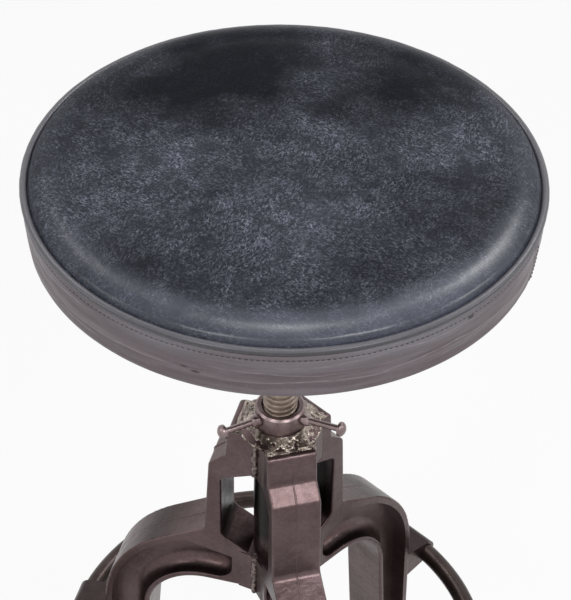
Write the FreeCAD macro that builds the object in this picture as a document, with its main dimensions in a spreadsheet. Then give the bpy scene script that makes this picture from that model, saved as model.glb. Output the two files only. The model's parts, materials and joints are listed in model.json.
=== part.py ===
"""Machinist stool: a round leather seat on a threaded column with three cast legs and a foot ring.

Millimetres. The origin is on the floor under the middle of the seat, +Z is up and the front leg
points along -Y. Heights are measured from the floor and radii from the column's axis.
"""
import FreeCAD, Part
import math
import os
import Sketcher

SIZES = {
    # seat
    "seat_radius": 178.0,
    "seat_edge_height": 690.0,
    "crown_rise": 14.0,
    "crown_break_radius": 150.0,
    "crown_break_drop": 3.0,
    "crown_shoulder_curve": 32.0,
    "piping_diameter": 5.2,
    "band_depth": 41.0,
    "band_draw_in": 2.6,
    "band_bulge": 420.0,
    "leather_thickness": 1.6,
    "hem_width": 22.0,
    "hem_corner_radius": 4.5,
    "board_thickness": 18.0,
    "cover_thickness": 0.8,
    "cover_overlap": 12.0,
    "soft_gap": 0.3,
    # seat flange and its bolts
    "flange_radius": 60.0,
    "flange_thickness": 8.0,
    "flange_boss_radius": 23.0,
    "flange_boss_depth": 28.0,
    "flange_fillet": 7.0,
    "flange_cover_gap": 2.0,
    "bolt_circle_radius": 45.0,
    "bolt_radius": 4.0,
    "bolt_head_width": 13.0,
    "bolt_head_height": 5.3,
    "bolt_hole_gap": 0.3,
    "tee_nut_radius": 11.0,
    "tee_nut_plate": 1.6,
    "tee_nut_barrel_radius": 5.2,
    "tee_nut_barrel_length": 11.0,
    "cross_pin_radius": 3.0,
    "cross_pin_drop": 16.0,
    "seat_seam_gap": 0.2,
    # screw and lock
    "screw_radius": 12.7,
    "rise_room": 56.0,
    "screw_chamfer": 2.0,
    "running_gap": 0.05,
    "stop_washer_radius": 18.0,
    "stop_washer_thickness": 4.0,
    "stop_bolt_radius": 5.0,
    "stop_bolt_reach": 22.0,
    "stop_bolt_end_room": 2.0,
    "stop_bolt_head_width": 16.0,
    "stop_bolt_head_height": 7.0,
    "collar_radius": 18.5,
    "collar_height": 15.7,
    "collar_chamfer": 1.5,
    "collar_mouth_radius": 14.2,
    "collar_mouth_depth": 5.0,
    "handle_reach": 54.0,
    "handle_rod_radius": 2.5,
    "handle_head_radius": 5.5,
    "handle_head_length": 6.0,
    "handle_flare_radius": 3.6,
    "handle_flare_length": 4.0,
    "handle_rise_angle": 7.0,
    "handle_root_rise": 6.7,
    "handle_root_gap": 0.3,
    "handle_turn_angle": -42.2,
    # column
    "hub_top_height": 456.0,
    "tube_radius": 19.0,
    "tube_wall": 2.5,
    "tube_tail": 1.0,
    "tube_proud": 4.8,
    "weld_reach": 11.0,
    "weld_rise": 4.2,
    "weld_toe": 1.0,
    "nut_length": 45.0,
    "guide_length": 20.0,
    "weld_gap": 0.1,
    # cast legs, radii and heights of the side view
    "leg_width": 38.0,
    "hub_core_radius": 11.5,
    "boss_radius": 35.9,
    "boss_foot_radius": 37.6,
    "boss_depth": 26.0,
    "boss_flank_radius": 26.4,
    "boss_seam_radius": 25.0,
    "post_top_radius": 50.6,
    "post_top_drop": 37.5,
    "post_foot_radius": 54.3,
    "bend_height": 239.0,
    "shoulder_centre_radius": 39.2,
    "shoulder_curve": 100.0,
    "shoulder_slope": 31.0,
    "outer_lean": 1.4,
    "arch_centre_radius": 52.0,
    "arch_curve": 50.0,
    "inner_lean": 4.4,
    "ankle_height": 12.0,
    "window_inner_radius": 10.0,
    "window_outer_radius": 40.5,
    "window_head_drop": 51.5,
    "window_top_rise": 12.0,
    "window_sill_rise": 53.0,
    "window_bottom_drop": 14.0,
    "window_top_round": 4.0,
    "window_bottom_round": 9.0,
    "web_thickness": 10.0,
    "rim_thickness": 5.7,
    "arch_rim_thickness": 4.8,
    "recess_hub_radius": 32.6,
    "recess_hub_rise": 31.0,
    "recess_peak_slope": 18.4,
    "recess_end_height": 62.0,
    "recess_corner_round": 12.0,
    "recess_cove": 11.0,
    "edge_round": 1.8,
    "boss_round": 4.0,
    "post_round": 5.0,
    "step_round": 6.0,
    # foot ring and its lugs
    "ring_radius": 164.2,
    "ring_height": 203.6,
    "ring_rod_radius": 7.5,
    "ring_gap": 0.15,
    "lug_wall": 2.0,
    "lug_width": 34.0,
    "lug_root_spread": 4.0,
    "lug_root_depth": 2.0,
    # feet
    "foot_pad_radius": 21.0,
    "foot_pad_height": 8.0,
    "foot_neck_radius": 15.0,
    "foot_neck_height": 17.0,
    "glide_radius": 16.0,
    "glide_thickness": 3.0,
    "glide_stem_radius": 4.0,
    "glide_stem_length": 12.0,
    "glide_stem_gap": 0.2,
}

LEG_ANGLES = {"front": -90.0, "right": 30.0, "left": 150.0}
HANDLE_NAMES = ("a", "b", "c")
BOLT_COUNT = 4

doc = FreeCAD.newDocument("machinist_stool")


class Size:
    """A number that remembers how it follows from the cells of the sheet."""

    def __init__(self, value, text):
        self.value = value
        self.text = text

    def __add__(self, other):
        other = as_size(other)
        return Size(self.value + other.value, f"({self.text} + {other.text})")

    def __sub__(self, other):
        other = as_size(other)
        return Size(self.value - other.value, f"({self.text} - {other.text})")

    def __mul__(self, other):
        other = as_size(other)
        return Size(self.value * other.value, f"({self.text} * {other.text})")

    def __truediv__(self, other):
        other = as_size(other)
        return Size(self.value / other.value, f"({self.text} / {other.text})")

    def __neg__(self):
        return Size(-self.value, f"(0 - {self.text})")


def as_size(number):
    """Wraps a plain number, so that it can stand in a rule beside the sizes."""
    if isinstance(number, Size):
        return number
    return Size(float(number), f"{float(number)}")


def fill_sheet():
    """Writes the driving sizes into the sheet and returns them by name."""
    sheet = doc.addObject("Spreadsheet::Sheet", "sizes")
    for row, (name, value) in enumerate(SIZES.items(), start=1):
        sheet.set(f"A{row}", name)
        sheet.set(f"B{row}", f"{value}")
        sheet.setAlias(f"B{row}", name)
    doc.recompute()
    return {name: Size(sheet.get(name), f"sizes.{name}") for name in SIZES}


size = fill_sheet()
ZERO = as_size(0)

# heights and radii that several pieces share
seat_bottom = size["seat_edge_height"] - size["band_depth"]
piping_centre_radius = size["seat_radius"] - size["piping_diameter"] / 2
band_top_radius = piping_centre_radius + size["piping_diameter"] / 4
band_bottom_radius = band_top_radius - size["band_draw_in"]
board_bottom = seat_bottom + size["leather_thickness"] + size["seat_seam_gap"]
board_top = board_bottom + size["board_thickness"]
board_radius = band_bottom_radius - size["leather_thickness"] - size["soft_gap"] - size["band_draw_in"]
flange_top = board_bottom
flange_bottom = flange_top - size["flange_thickness"]
boss_bottom = flange_bottom - size["flange_boss_depth"]
tube_top = size["hub_top_height"] + size["tube_proud"]
collar_top = tube_top + size["collar_height"]
tube_bore_radius = size["tube_radius"] - size["tube_wall"]
screw_bore_radius = size["screw_radius"] + size["running_gap"]
half_leg = size["leg_width"] / 2
hub_bottom = size["bend_height"] + size["arch_curve"]
tube_bottom = hub_bottom - size["tube_tail"]
screw_bottom = tube_bottom - size["rise_room"]
boss_foot = size["hub_top_height"] - size["boss_depth"]
post_top = size["hub_top_height"] - size["post_top_drop"]
window_top = size["hub_top_height"] - size["window_head_drop"]
window_bottom = hub_bottom + size["window_sill_rise"]
pin_height = flange_bottom - size["cross_pin_drop"]


def origin_plane(body, role):
    """Finds one of a body's own origin planes or axes by its role."""
    return next(feature for feature in body.Origin.OriginFeatures if feature.Role == role)


def new_body(name):
    body = doc.addObject("PartDesign::Body", name)
    body.Label = name
    return body


def new_sketch(body, name, role, offset=None):
    """A sketch on one of the body's origin planes, moved along its normal by the offset."""
    sketch = body.newObject("Sketcher::SketchObject", name)
    sketch.AttachmentSupport = [(origin_plane(body, role), "")]
    sketch.MapMode = "FlatFace"
    if offset is not None:
        sketch.setExpression("AttachmentOffset.Base.z", offset.text)
    return sketch


def hold(sketch, kind, geometry, point, wanted):
    """Ties one coordinate of a sketch point to a rule."""
    index = sketch.addConstraint(Sketcher.Constraint(kind, geometry, point, wanted.value))
    sketch.setExpression(f"Constraints[{index}]", wanted.text)


def arc_between(start, end, radius, side):
    """The arc from start to end, bulging to the left (side 1) or right (side -1) of that way."""
    middle = (start + end) * 0.5
    along = end - start
    across = FreeCAD.Vector(-along.y, along.x, 0).normalize()
    half = along.Length / 2
    rise = radius - math.sqrt(max(radius * radius - half * half, 0.0))
    return Part.Arc(start, middle + across * (side * rise), end)


def draw_outline(sketch, corners):
    """A closed outline. A corner is (x, y), or (x, y, radius, side) where an arc leaves it."""
    corners = [tuple(as_size(entry) for entry in corner) for corner in corners]
    points = [FreeCAD.Vector(corner[0].value, corner[1].value, 0) for corner in corners]
    starts = []
    for index, corner in enumerate(corners):
        start = points[index]
        end = points[(index + 1) % len(points)]
        if len(corner) == 2:
            sketch.addGeometry(Part.LineSegment(start, end), False)
            starts.append((1, 2))
            continue
        arc = arc_between(start, end, corner[2].value, corner[3].value)
        sketch.addGeometry(arc, False)
        leaves_at_start = sketch.getPoint(index, 1).distanceToPoint(start) < 1e-6
        starts.append((1, 2) if leaves_at_start else (2, 1))
    for index, corner in enumerate(corners):
        following = (index + 1) % len(corners)
        link = Sketcher.Constraint("Coincident", index, starts[index][1], following, starts[following][0])
        sketch.addConstraint(link)
        hold(sketch, "DistanceX", index, starts[index][0], corner[0])
        hold(sketch, "DistanceY", index, starts[index][0], corner[1])
        if len(corner) > 2:
            bend = sketch.addConstraint(Sketcher.Constraint("Radius", index, corner[2].value))
            sketch.setExpression(f"Constraints[{bend}]", corner[2].text)


def draw_circle(sketch, x, y, radius):
    x, y, radius = as_size(x), as_size(y), as_size(radius)
    centre = FreeCAD.Vector(x.value, y.value, 0)
    index = sketch.addGeometry(Part.Circle(centre, FreeCAD.Vector(0, 0, 1), radius.value), False)
    bend = sketch.addConstraint(Sketcher.Constraint("Radius", index, radius.value))
    sketch.setExpression(f"Constraints[{bend}]", radius.text)
    hold(sketch, "DistanceX", index, 3, x)
    hold(sketch, "DistanceY", index, 3, y)


def revolve(body, name, corners):
    """Turns a side view, drawn as radii and heights, once round the column's axis."""
    sketch = new_sketch(body, f"{name}_section", "XZ_Plane")
    draw_outline(sketch, corners)
    turned = body.newObject("PartDesign::Revolution", name)
    turned.Profile = sketch
    turned.ReferenceAxis = (sketch, ["V_Axis"])
    turned.Angle = 360
    body.Tip = turned
    return turned


def pad(body, sketch, name, length, both_ways=False):
    made = body.newObject("PartDesign::Pad", name)
    made.Profile = sketch
    made.setExpression("Length", length.text)
    if both_ways:
        made.SideType = "Symmetric"
    body.Tip = made
    return made


def pocket_through(body, sketch, name):
    """Cuts the outline through the whole body, to both sides of its plane."""
    cut = body.newObject("PartDesign::Pocket", name)
    cut.Profile = sketch
    cut.SideType = "Symmetric"
    cut.Type = "ThroughAll"
    body.Tip = cut
    return cut


def round_edges(body, name, radius, wanted):
    """Fillets the edges of the tip that the rule picks."""
    doc.recompute()
    tip = body.Tip
    picked = [f"Edge{number}" for number, edge in enumerate(tip.Shape.Edges, start=1) if wanted(edge)]
    if not picked:
        raise RuntimeError(f"{body.Label}: no edge for {name}")
    fillet = body.newObject("PartDesign::Fillet", name)
    fillet.Base = (tip, picked)
    fillet.setExpression("Radius", radius.text)
    body.Tip = fillet
    return fillet


def place(piece, x=ZERO, y=ZERO, z=ZERO):
    """Puts a piece at a place that follows the sizes."""
    for axis, value in zip("xyz", (x, y, z)):
        piece.setExpression(f".Placement.Base.{axis}", as_size(value).text)


def turn(piece, degrees):
    """Turns a piece about the column's axis."""
    rotation = FreeCAD.Rotation(FreeCAD.Vector(0, 0, 1), degrees)
    piece.Placement = FreeCAD.Placement(FreeCAD.Vector(), rotation)


def is_near(value, wanted, slack=0.05):
    return abs(value - wanted) < slack


def runs_across(edge):
    """True for a straight edge that crosses the leg's width."""
    start, end = edge.Vertexes[0].Point, edge.Vertexes[-1].Point
    return is_near(start.x, end.x) and is_near(start.z, end.z) and not is_near(start.y, end.y, 1.0)


def on_arc(centre_radius, curve, degrees_from_up):
    """The point of a leg's bend that lies the given angle from straight above its centre."""
    angle = math.radians(degrees_from_up)
    return centre_radius + curve * math.sin(angle), size["bend_height"] + curve * math.cos(angle)


def leaning_to(point, degrees, height):
    """The radius that a line reaches at the height, leaning outwards from the point by the angle."""
    return point[0] + (point[1] - height) * math.tan(math.radians(degrees))


shoulder_start = on_arc(size["shoulder_centre_radius"], size["shoulder_curve"], size["shoulder_slope"].value)
knee = on_arc(size["shoulder_centre_radius"], size["shoulder_curve"], 90 - size["outer_lean"].value)
arch_end = on_arc(size["arch_centre_radius"], size["arch_curve"], 90 - size["inner_lean"].value)
slope = math.tan(math.radians(size["shoulder_slope"].value))
post_foot_height = shoulder_start[1] + (shoulder_start[0] - size["post_foot_radius"]) * slope
ankle_outer = leaning_to(knee, size["outer_lean"].value, size["ankle_height"])
ankle_inner = leaning_to(arch_end, size["inner_lean"].value, size["ankle_height"])
foot_centre_radius = (ankle_outer + ankle_inner) / 2


def across_at(radius, height):
    """A rule that picks the straight edge across the leg at the given radius and height."""
    def wanted(edge):
        point = edge.Vertexes[0].Point
        return runs_across(edge) and is_near(point.x, radius.value) and is_near(point.z, height.value)
    return wanted


def level_at(offset, radius, height, reach):
    """A rule that picks the edge in the plane at the given offset that passes near a point."""
    target = FreeCAD.Vector(radius, 0, height)

    def wanted(edge):
        box = edge.BoundBox
        if not is_near(box.YMin, box.YMax, 0.001) or not is_near(abs(box.YMin), offset, 0.001):
            return False
        middle = edge.valueAt((edge.FirstParameter + edge.LastParameter) / 2)
        return middle.distanceToPoint(FreeCAD.Vector(target.x, middle.y, target.z)) < reach
    return wanted


def leg_casting(name, degrees):
    """One cast leg: boss, post, shoulder, I-section leg, ring lug and foot, welded to the tube."""
    body = new_body(name)
    core = size["hub_core_radius"]
    side_view = new_sketch(body, "side_view", "XZ_Plane")
    draw_outline(side_view, [
        (core, size["hub_top_height"]),
        (size["boss_radius"], size["hub_top_height"]),
        (size["boss_foot_radius"], boss_foot),
        (size["post_top_radius"], post_top),
        (size["post_foot_radius"], post_foot_height),
        (*shoulder_start, size["shoulder_curve"], 1),
        knee,
        (ankle_outer, size["ankle_height"]),
        (ankle_inner, size["ankle_height"]),
        (*arch_end, size["arch_curve"], -1),
        (size["arch_centre_radius"], hub_bottom),
        (core, hub_bottom),
    ])
    pad(body, side_view, "blank", size["leg_width"], both_ways=True)
    blank_rounds(body)
    hub_flanks(body)
    ring_lug(body)
    foot_pad(body)
    window(body)
    recesses(body)
    bores(body)
    turn(body, degrees)
    return body


def blank_rounds(body):
    """The rounded corners of boss and post, and the softened edges of the outer and inner faces."""
    corners = {
        "post_head": (size["post_round"], size["post_top_radius"], post_top),
        "post_step": (size["step_round"], size["post_foot_radius"], post_foot_height),
        "boss_head": (size["boss_round"], size["boss_radius"], size["hub_top_height"]),
        "boss_step": (size["boss_round"], size["boss_foot_radius"], boss_foot),
    }
    for name, (radius, across_radius, height) in corners.items():
        round_edges(body, name, radius, across_at(across_radius, height))
    shoulder = on_arc(size["shoulder_centre_radius"], size["shoulder_curve"],
                      (90 - size["outer_lean"].value + size["shoulder_slope"].value) / 2)
    arch = on_arc(size["arch_centre_radius"], size["arch_curve"], (90 - size["inner_lean"].value) / 2)
    for name, point in (("outer_edges", shoulder), ("inner_edges", arch)):
        round_edges(body, name, size["edge_round"],
                    level_at(half_leg.value, point[0].value, point[1].value, 0.5))


def hub_flanks(body):
    """The flanks of boss and hub, which widen towards the weld seam with the next casting."""
    seam_radius = size["boss_seam_radius"] - size["weld_gap"]
    seam_x = seam_radius * math.cos(math.radians(60))
    seam_y = seam_radius * math.sin(math.radians(60))
    stretches = {
        "boss_flanks": (window_top + size["window_top_rise"], size["hub_top_height"]),
        "hub_flanks": (hub_bottom, window_bottom - size["window_bottom_drop"]),
    }
    for name, (bottom, top) in stretches.items():
        plan = new_sketch(body, f"{name}_plan", "XY_Plane", bottom)
        draw_outline(plan, [
            (size["weld_gap"] * 2, 0),
            (seam_x, -seam_y),
            (size["boss_flank_radius"], -half_leg),
            (size["boss_flank_radius"], half_leg),
            (seam_x, seam_y),
        ])
        pad(body, plan, name, top - bottom)


def ring_lug(body):
    """The cast eye that carries the foot ring on the leg's outer face."""
    outline = new_sketch(body, "lug_outline", "XZ_Plane")
    eye = size["ring_rod_radius"] + size["lug_wall"]
    root = knee[0] - size["lug_root_depth"]
    spread = size["lug_root_spread"]
    draw_outline(outline, [
        (root, size["ring_height"] + eye + spread),
        (size["ring_radius"], size["ring_height"] + eye),
        (size["ring_radius"], size["ring_height"] - eye),
        (root, size["ring_height"] - eye - spread),
    ])
    pad(body, outline, "lug_root", size["lug_width"], both_ways=True)
    rim = new_sketch(body, "lug_rim", "XZ_Plane")
    draw_circle(rim, size["ring_radius"], size["ring_height"], eye)
    pad(body, rim, "lug", size["lug_width"], both_ways=True)


def foot_pad(body):
    """The round foot, drawn about its own axis at the leg's lower end."""
    centre = foot_centre_radius
    base = new_sketch(body, "foot_outline", "XY_Plane", size["glide_thickness"])
    draw_circle(base, centre, 0, size["foot_pad_radius"])
    pad(body, base, "foot", size["foot_pad_height"] - size["glide_thickness"])
    neck = new_sketch(body, "neck_outline", "XY_Plane", size["glide_thickness"])
    draw_circle(neck, centre, 0, size["foot_neck_radius"])
    pad(body, neck, "neck", size["foot_neck_height"] - size["glide_thickness"])


def window(body):
    """The opening between the tube and the post."""
    outline = new_sketch(body, "window_outline", "XZ_Plane")
    inner = size["window_inner_radius"]
    draw_outline(outline, [
        (inner, window_bottom - size["window_bottom_drop"]),
        (size["tube_radius"], window_bottom - size["window_bottom_drop"]),
        (size["window_outer_radius"], window_bottom),
        (size["window_outer_radius"], window_top),
        (inner, window_top + size["window_top_rise"]),
    ])
    pocket_through(body, outline, "window")
    corners = {
        "window_head": (size["window_top_round"], window_top),
        "window_sill": (size["window_bottom_round"], window_bottom),
    }
    for name, (radius, height) in corners.items():
        round_edges(body, name, radius, across_at(size["window_outer_radius"], height))
    half_height = (window_top + window_bottom) / 2
    round_edges(body, "window_edges", size["edge_round"],
                level_at(half_leg.value, size["window_outer_radius"].value, half_height.value, 4))


def recesses(body):
    """The hollows in both faces that leave the leg an I-section."""
    outer_curve = size["shoulder_curve"] - size["rim_thickness"]
    inner_curve = size["arch_curve"] + size["arch_rim_thickness"]
    peak = on_arc(size["shoulder_centre_radius"], outer_curve, size["recess_peak_slope"].value)
    outer_end = on_arc(size["shoulder_centre_radius"], outer_curve, 90 - size["outer_lean"].value)
    inner_end = on_arc(size["arch_centre_radius"], inner_curve, 90 - size["inner_lean"].value)
    end_height = size["recess_end_height"]
    floor = size["bend_height"] + inner_curve
    hub_radius = size["recess_hub_radius"]
    depth = (size["leg_width"] - size["web_thickness"]) / 2
    for name, offset, reverse in (("near", half_leg, False), ("far", -half_leg, True)):
        outline = new_sketch(body, f"recess_{name}_outline", "XZ_Plane", offset)
        draw_outline(outline, [
            (hub_radius, hub_bottom + size["recess_hub_rise"]),
            (*peak, outer_curve, 1),
            outer_end,
            (leaning_to(outer_end, size["outer_lean"].value, end_height), end_height),
            (leaning_to(inner_end, size["inner_lean"].value, end_height), end_height),
            (*inner_end, inner_curve, -1),
            (size["arch_centre_radius"], floor),
            (hub_radius, floor),
        ])
        cut = body.newObject("PartDesign::Pocket", f"recess_{name}")
        cut.Profile = outline
        cut.Reversed = reverse
        cut.setExpression("Length", depth.text)
        body.Tip = cut
    round_edges(body, "recess_corner", size["recess_corner_round"], across_at(hub_radius, floor))
    cove_bend = on_arc(size["arch_centre_radius"], inner_curve, (90 - size["inner_lean"].value) / 2)
    web = size["web_thickness"].value / 2
    round_edges(body, "cove", size["recess_cove"], level_at(web, cove_bend[0].value, cove_bend[1].value, 0.5))
    round_edges(body, "recess_rim", size["edge_round"],
                level_at(half_leg.value, cove_bend[0].value, cove_bend[1].value, 0.5))


def bores(body):
    """The seat of the tube, the way of the ring through the lug and the hole of the glide."""
    seat = new_sketch(body, "tube_seat_outline", "XY_Plane")
    draw_circle(seat, 0, 0, size["tube_radius"] + size["weld_gap"])
    pocket_through(body, seat, "tube_seat")
    eye = new_sketch(body, "ring_way_outline", "XZ_Plane")
    draw_circle(eye, size["ring_radius"], size["ring_height"], size["ring_rod_radius"] + size["ring_gap"])
    groove = body.newObject("PartDesign::Groove", "ring_way")
    groove.Profile = eye
    groove.ReferenceAxis = (eye, ["V_Axis"])
    groove.Angle = 360
    body.Tip = groove
    hole = new_sketch(body, "glide_hole_outline", "XY_Plane", size["glide_thickness"])
    draw_circle(hole, foot_centre_radius, 0, size["glide_stem_radius"] + size["glide_stem_gap"])
    cut = body.newObject("PartDesign::Pocket", "glide_hole")
    cut.Profile = hole
    cut.Reversed = True
    cut.setExpression("Length", size["glide_stem_length"].text)
    body.Tip = cut


def centre_tube():
    """The tube that the castings are welded to, with the weld on top of their bosses."""
    body = new_body("centre_tube")
    weld_foot = size["hub_top_height"] + size["weld_gap"]
    weld_radius = size["tube_radius"] + size["weld_reach"]
    revolve(body, "tube", [
        (tube_bore_radius, tube_bottom),
        (size["tube_radius"], tube_bottom),
        (size["tube_radius"], weld_foot),
        (weld_radius, weld_foot),
        (weld_radius, weld_foot + size["weld_toe"]),
        (size["tube_radius"], weld_foot + size["weld_rise"]),
        (size["tube_radius"], tube_top),
        (tube_bore_radius, tube_top),
    ])
    return body


def bush(name, bottom, top):
    """A sleeve between the tube and the screw."""
    body = new_body(name)
    revolve(body, "sleeve", [
        (screw_bore_radius, bottom),
        (tube_bore_radius - size["running_gap"], bottom),
        (tube_bore_radius - size["running_gap"], top),
        (screw_bore_radius, top),
    ])
    return body


def foot_ring():
    body = new_body("foot_ring")
    section = new_sketch(body, "rod_section", "XZ_Plane")
    draw_circle(section, size["ring_radius"], size["ring_height"], size["ring_rod_radius"])
    turned = body.newObject("PartDesign::Revolution", "rod")
    turned.Profile = section
    turned.ReferenceAxis = (section, ["V_Axis"])
    turned.Angle = 360
    body.Tip = turned
    return body


def glide(name, degrees):
    """A steel glide under a foot, with its stem in the foot's hole."""
    body = new_body(name)
    centre = foot_centre_radius
    disc = new_sketch(body, "disc_outline", "XY_Plane")
    draw_circle(disc, centre, 0, size["glide_radius"])
    pad(body, disc, "disc", size["glide_thickness"])
    stem = new_sketch(body, "stem_outline", "XY_Plane")
    draw_circle(stem, centre, 0, size["glide_stem_radius"])
    pad(body, stem, "stem", size["glide_stem_length"])
    turn(body, degrees)
    return body


def lock_collar():
    body = new_body("lock_collar")
    chamfer = size["collar_chamfer"]
    revolve(body, "collar", [
        (screw_bore_radius, tube_top),
        (size["collar_radius"], tube_top),
        (size["collar_radius"], collar_top - chamfer),
        (size["collar_radius"] - chamfer, collar_top),
        (size["collar_mouth_radius"], collar_top),
        (size["collar_mouth_radius"], collar_top - size["collar_mouth_depth"]),
        (screw_bore_radius, collar_top - size["collar_mouth_depth"]),
    ])
    return body


def lock_handle(name, degrees):
    """A round handle with a mushroom head, welded to the collar and rising a little outwards."""
    body = new_body(name)
    rod = size["handle_rod_radius"]
    root = size["collar_radius"] + size["handle_root_gap"]
    tip = size["handle_reach"]
    head_start = tip - size["handle_head_length"]
    head = size["handle_head_radius"]
    dome = size["handle_head_length"] / 2
    revolve(body, "handle", [
        (0, root),
        (size["handle_flare_radius"], root),
        (rod, root + size["handle_flare_length"]),
        (rod, head_start),
        (head, head_start + size["handle_head_length"] / 6),
        (head, tip - dome, (head * head + dome * dome) / (dome * 2), -1),
        (0, tip),
    ])
    lean = FreeCAD.Rotation(FreeCAD.Vector(0, 1, 0), 90 - size["handle_rise_angle"].value)
    about_up = FreeCAD.Rotation(FreeCAD.Vector(0, 0, 1), degrees)
    body.Placement = FreeCAD.Placement(FreeCAD.Vector(), about_up * lean)
    place(body, z=tube_top + size["handle_root_rise"])
    return body


def lead_screw():
    body = new_body("lead_screw")
    chamfer = size["screw_chamfer"]
    bottom = screw_bottom
    hole = size["stop_bolt_radius"] + size["running_gap"]
    revolve(body, "screw", [
        (0, bottom + size["stop_bolt_reach"]),
        (hole, bottom + size["stop_bolt_reach"]),
        (hole, bottom),
        (size["screw_radius"] - chamfer, bottom),
        (size["screw_radius"], bottom + chamfer),
        (size["screw_radius"], flange_top),
        (0, flange_top),
    ])
    cross = new_sketch(body, "pin_hole_outline", "XZ_Plane")
    draw_circle(cross, 0, pin_height, size["cross_pin_radius"] + size["running_gap"])
    pocket_through(body, cross, "pin_hole")
    return body


def stop_washer():
    body = new_body("stop_washer")
    top = screw_bottom
    revolve(body, "washer", [
        (size["stop_bolt_radius"] + size["running_gap"], top - size["stop_washer_thickness"]),
        (size["stop_washer_radius"], top - size["stop_washer_thickness"]),
        (size["stop_washer_radius"], top),
        (size["stop_bolt_radius"] + size["running_gap"], top),
    ])
    return body


def hex_bolt(name, width, height, radius, reach):
    """A hexagon bolt whose head's upper face is at the origin and whose shank points up."""
    head = doc.addObject("Part::Prism", f"{name}_head")
    head.Polygon = 6
    head.setExpression("Circumradius", (width / math.sqrt(3)).text)
    head.setExpression("Height", height.text)
    place(head, z=-height)
    shank = doc.addObject("Part::Cylinder", f"{name}_shank")
    shank.setExpression("Radius", radius.text)
    shank.setExpression("Height", reach.text)
    bolt = doc.addObject("Part::MultiFuse", name)
    bolt.Shapes = [head, shank]
    return bolt


def stop_bolt():
    """The bolt that holds the stop washer under the screw."""
    bolt = hex_bolt("stop_bolt", size["stop_bolt_head_width"], size["stop_bolt_head_height"],
                    size["stop_bolt_radius"],
                    size["stop_bolt_reach"] + size["stop_washer_thickness"] - size["stop_bolt_end_room"])
    place(bolt, z=screw_bottom - size["stop_washer_thickness"])
    bolt.Label = "stop_bolt"
    return bolt


def seat_flange():
    body = new_body("seat_flange")
    bore = size["screw_radius"] + size["running_gap"]
    round_radius = size["flange_fillet"]
    revolve(body, "flange", [
        (bore, boss_bottom),
        (size["flange_boss_radius"], boss_bottom),
        (size["flange_boss_radius"], flange_bottom - round_radius, round_radius, 1),
        (size["flange_boss_radius"] + round_radius, flange_bottom),
        (size["flange_radius"], flange_bottom),
        (size["flange_radius"], flange_top),
        (bore, flange_top),
    ])
    holes = new_sketch(body, "bolt_holes_outline", "XY_Plane")
    for step in range(BOLT_COUNT):
        angle = math.radians(45 + 360 / BOLT_COUNT * step)
        draw_circle(holes, size["bolt_circle_radius"] * math.cos(angle),
                    size["bolt_circle_radius"] * math.sin(angle), size["bolt_radius"] + size["bolt_hole_gap"])
    pocket_through(body, holes, "bolt_holes")
    cross = new_sketch(body, "pin_hole_outline", "XZ_Plane")
    draw_circle(cross, 0, pin_height, size["cross_pin_radius"] + size["running_gap"])
    pocket_through(body, cross, "pin_hole")
    return body


def cross_pin():
    """The pin that fixes the screw in the flange's boss."""
    pin = doc.addObject("Part::Cylinder", "cross_pin")
    pin.Label = "cross_pin"
    pin.setExpression("Radius", size["cross_pin_radius"].text)
    pin.setExpression("Height", (size["flange_boss_radius"] * 2 - 1).text)
    pin.Placement = FreeCAD.Placement(FreeCAD.Vector(), FreeCAD.Rotation(FreeCAD.Vector(1, 0, 0), 90))
    place(pin, y=size["flange_boss_radius"] - 0.5, z=pin_height)
    return pin


def ring_of(name, piece, radius, height):
    """Copies of a piece on the bolt circle, as one group of separate solids."""
    copies = []
    for step in range(BOLT_COUNT):
        angle = math.radians(45 + 360 / BOLT_COUNT * step)
        copy = doc.addObject("Part::Compound", f"{name}_{step + 1}")
        copy.Links = [piece]
        place(copy, radius * math.cos(angle), radius * math.sin(angle), height)
        copies.append(copy)
    group = doc.addObject("Part::Compound", name)
    group.Label = name
    group.Links = copies
    return group


def flange_bolts():
    bolt = hex_bolt("flange_bolt", size["bolt_head_width"], size["bolt_head_height"], size["bolt_radius"],
                    size["flange_thickness"] + size["board_thickness"] - 1)
    return ring_of("flange_bolts", bolt, size["bolt_circle_radius"], flange_bottom)


def tee_nuts():
    """The nuts let into the board's upper face, each a plate with a barrel."""
    section = doc.addObject("Part::Cylinder", "tee_plate")
    section.setExpression("Radius", size["tee_nut_radius"].text)
    section.setExpression("Height", size["tee_nut_plate"].text)
    place(section, z=-size["tee_nut_plate"])
    barrel = doc.addObject("Part::Cylinder", "tee_barrel")
    barrel.setExpression("Radius", size["tee_nut_barrel_radius"].text)
    barrel.setExpression("Height", size["tee_nut_barrel_length"].text)
    place(barrel, z=-size["tee_nut_barrel_length"])
    solid = doc.addObject("Part::MultiFuse", "tee_solid")
    solid.Shapes = [section, barrel]
    bore = doc.addObject("Part::Cylinder", "tee_bore")
    bore.setExpression("Radius", (size["bolt_radius"] + size["running_gap"]).text)
    bore.setExpression("Height", (size["tee_nut_barrel_length"] + 2).text)
    place(bore, z=-(size["tee_nut_barrel_length"] + 1))
    nut = doc.addObject("Part::Cut", "tee_nut")
    nut.Base = solid
    nut.Tool = bore
    return ring_of("tee_nuts", nut, size["bolt_circle_radius"], board_top)


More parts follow.
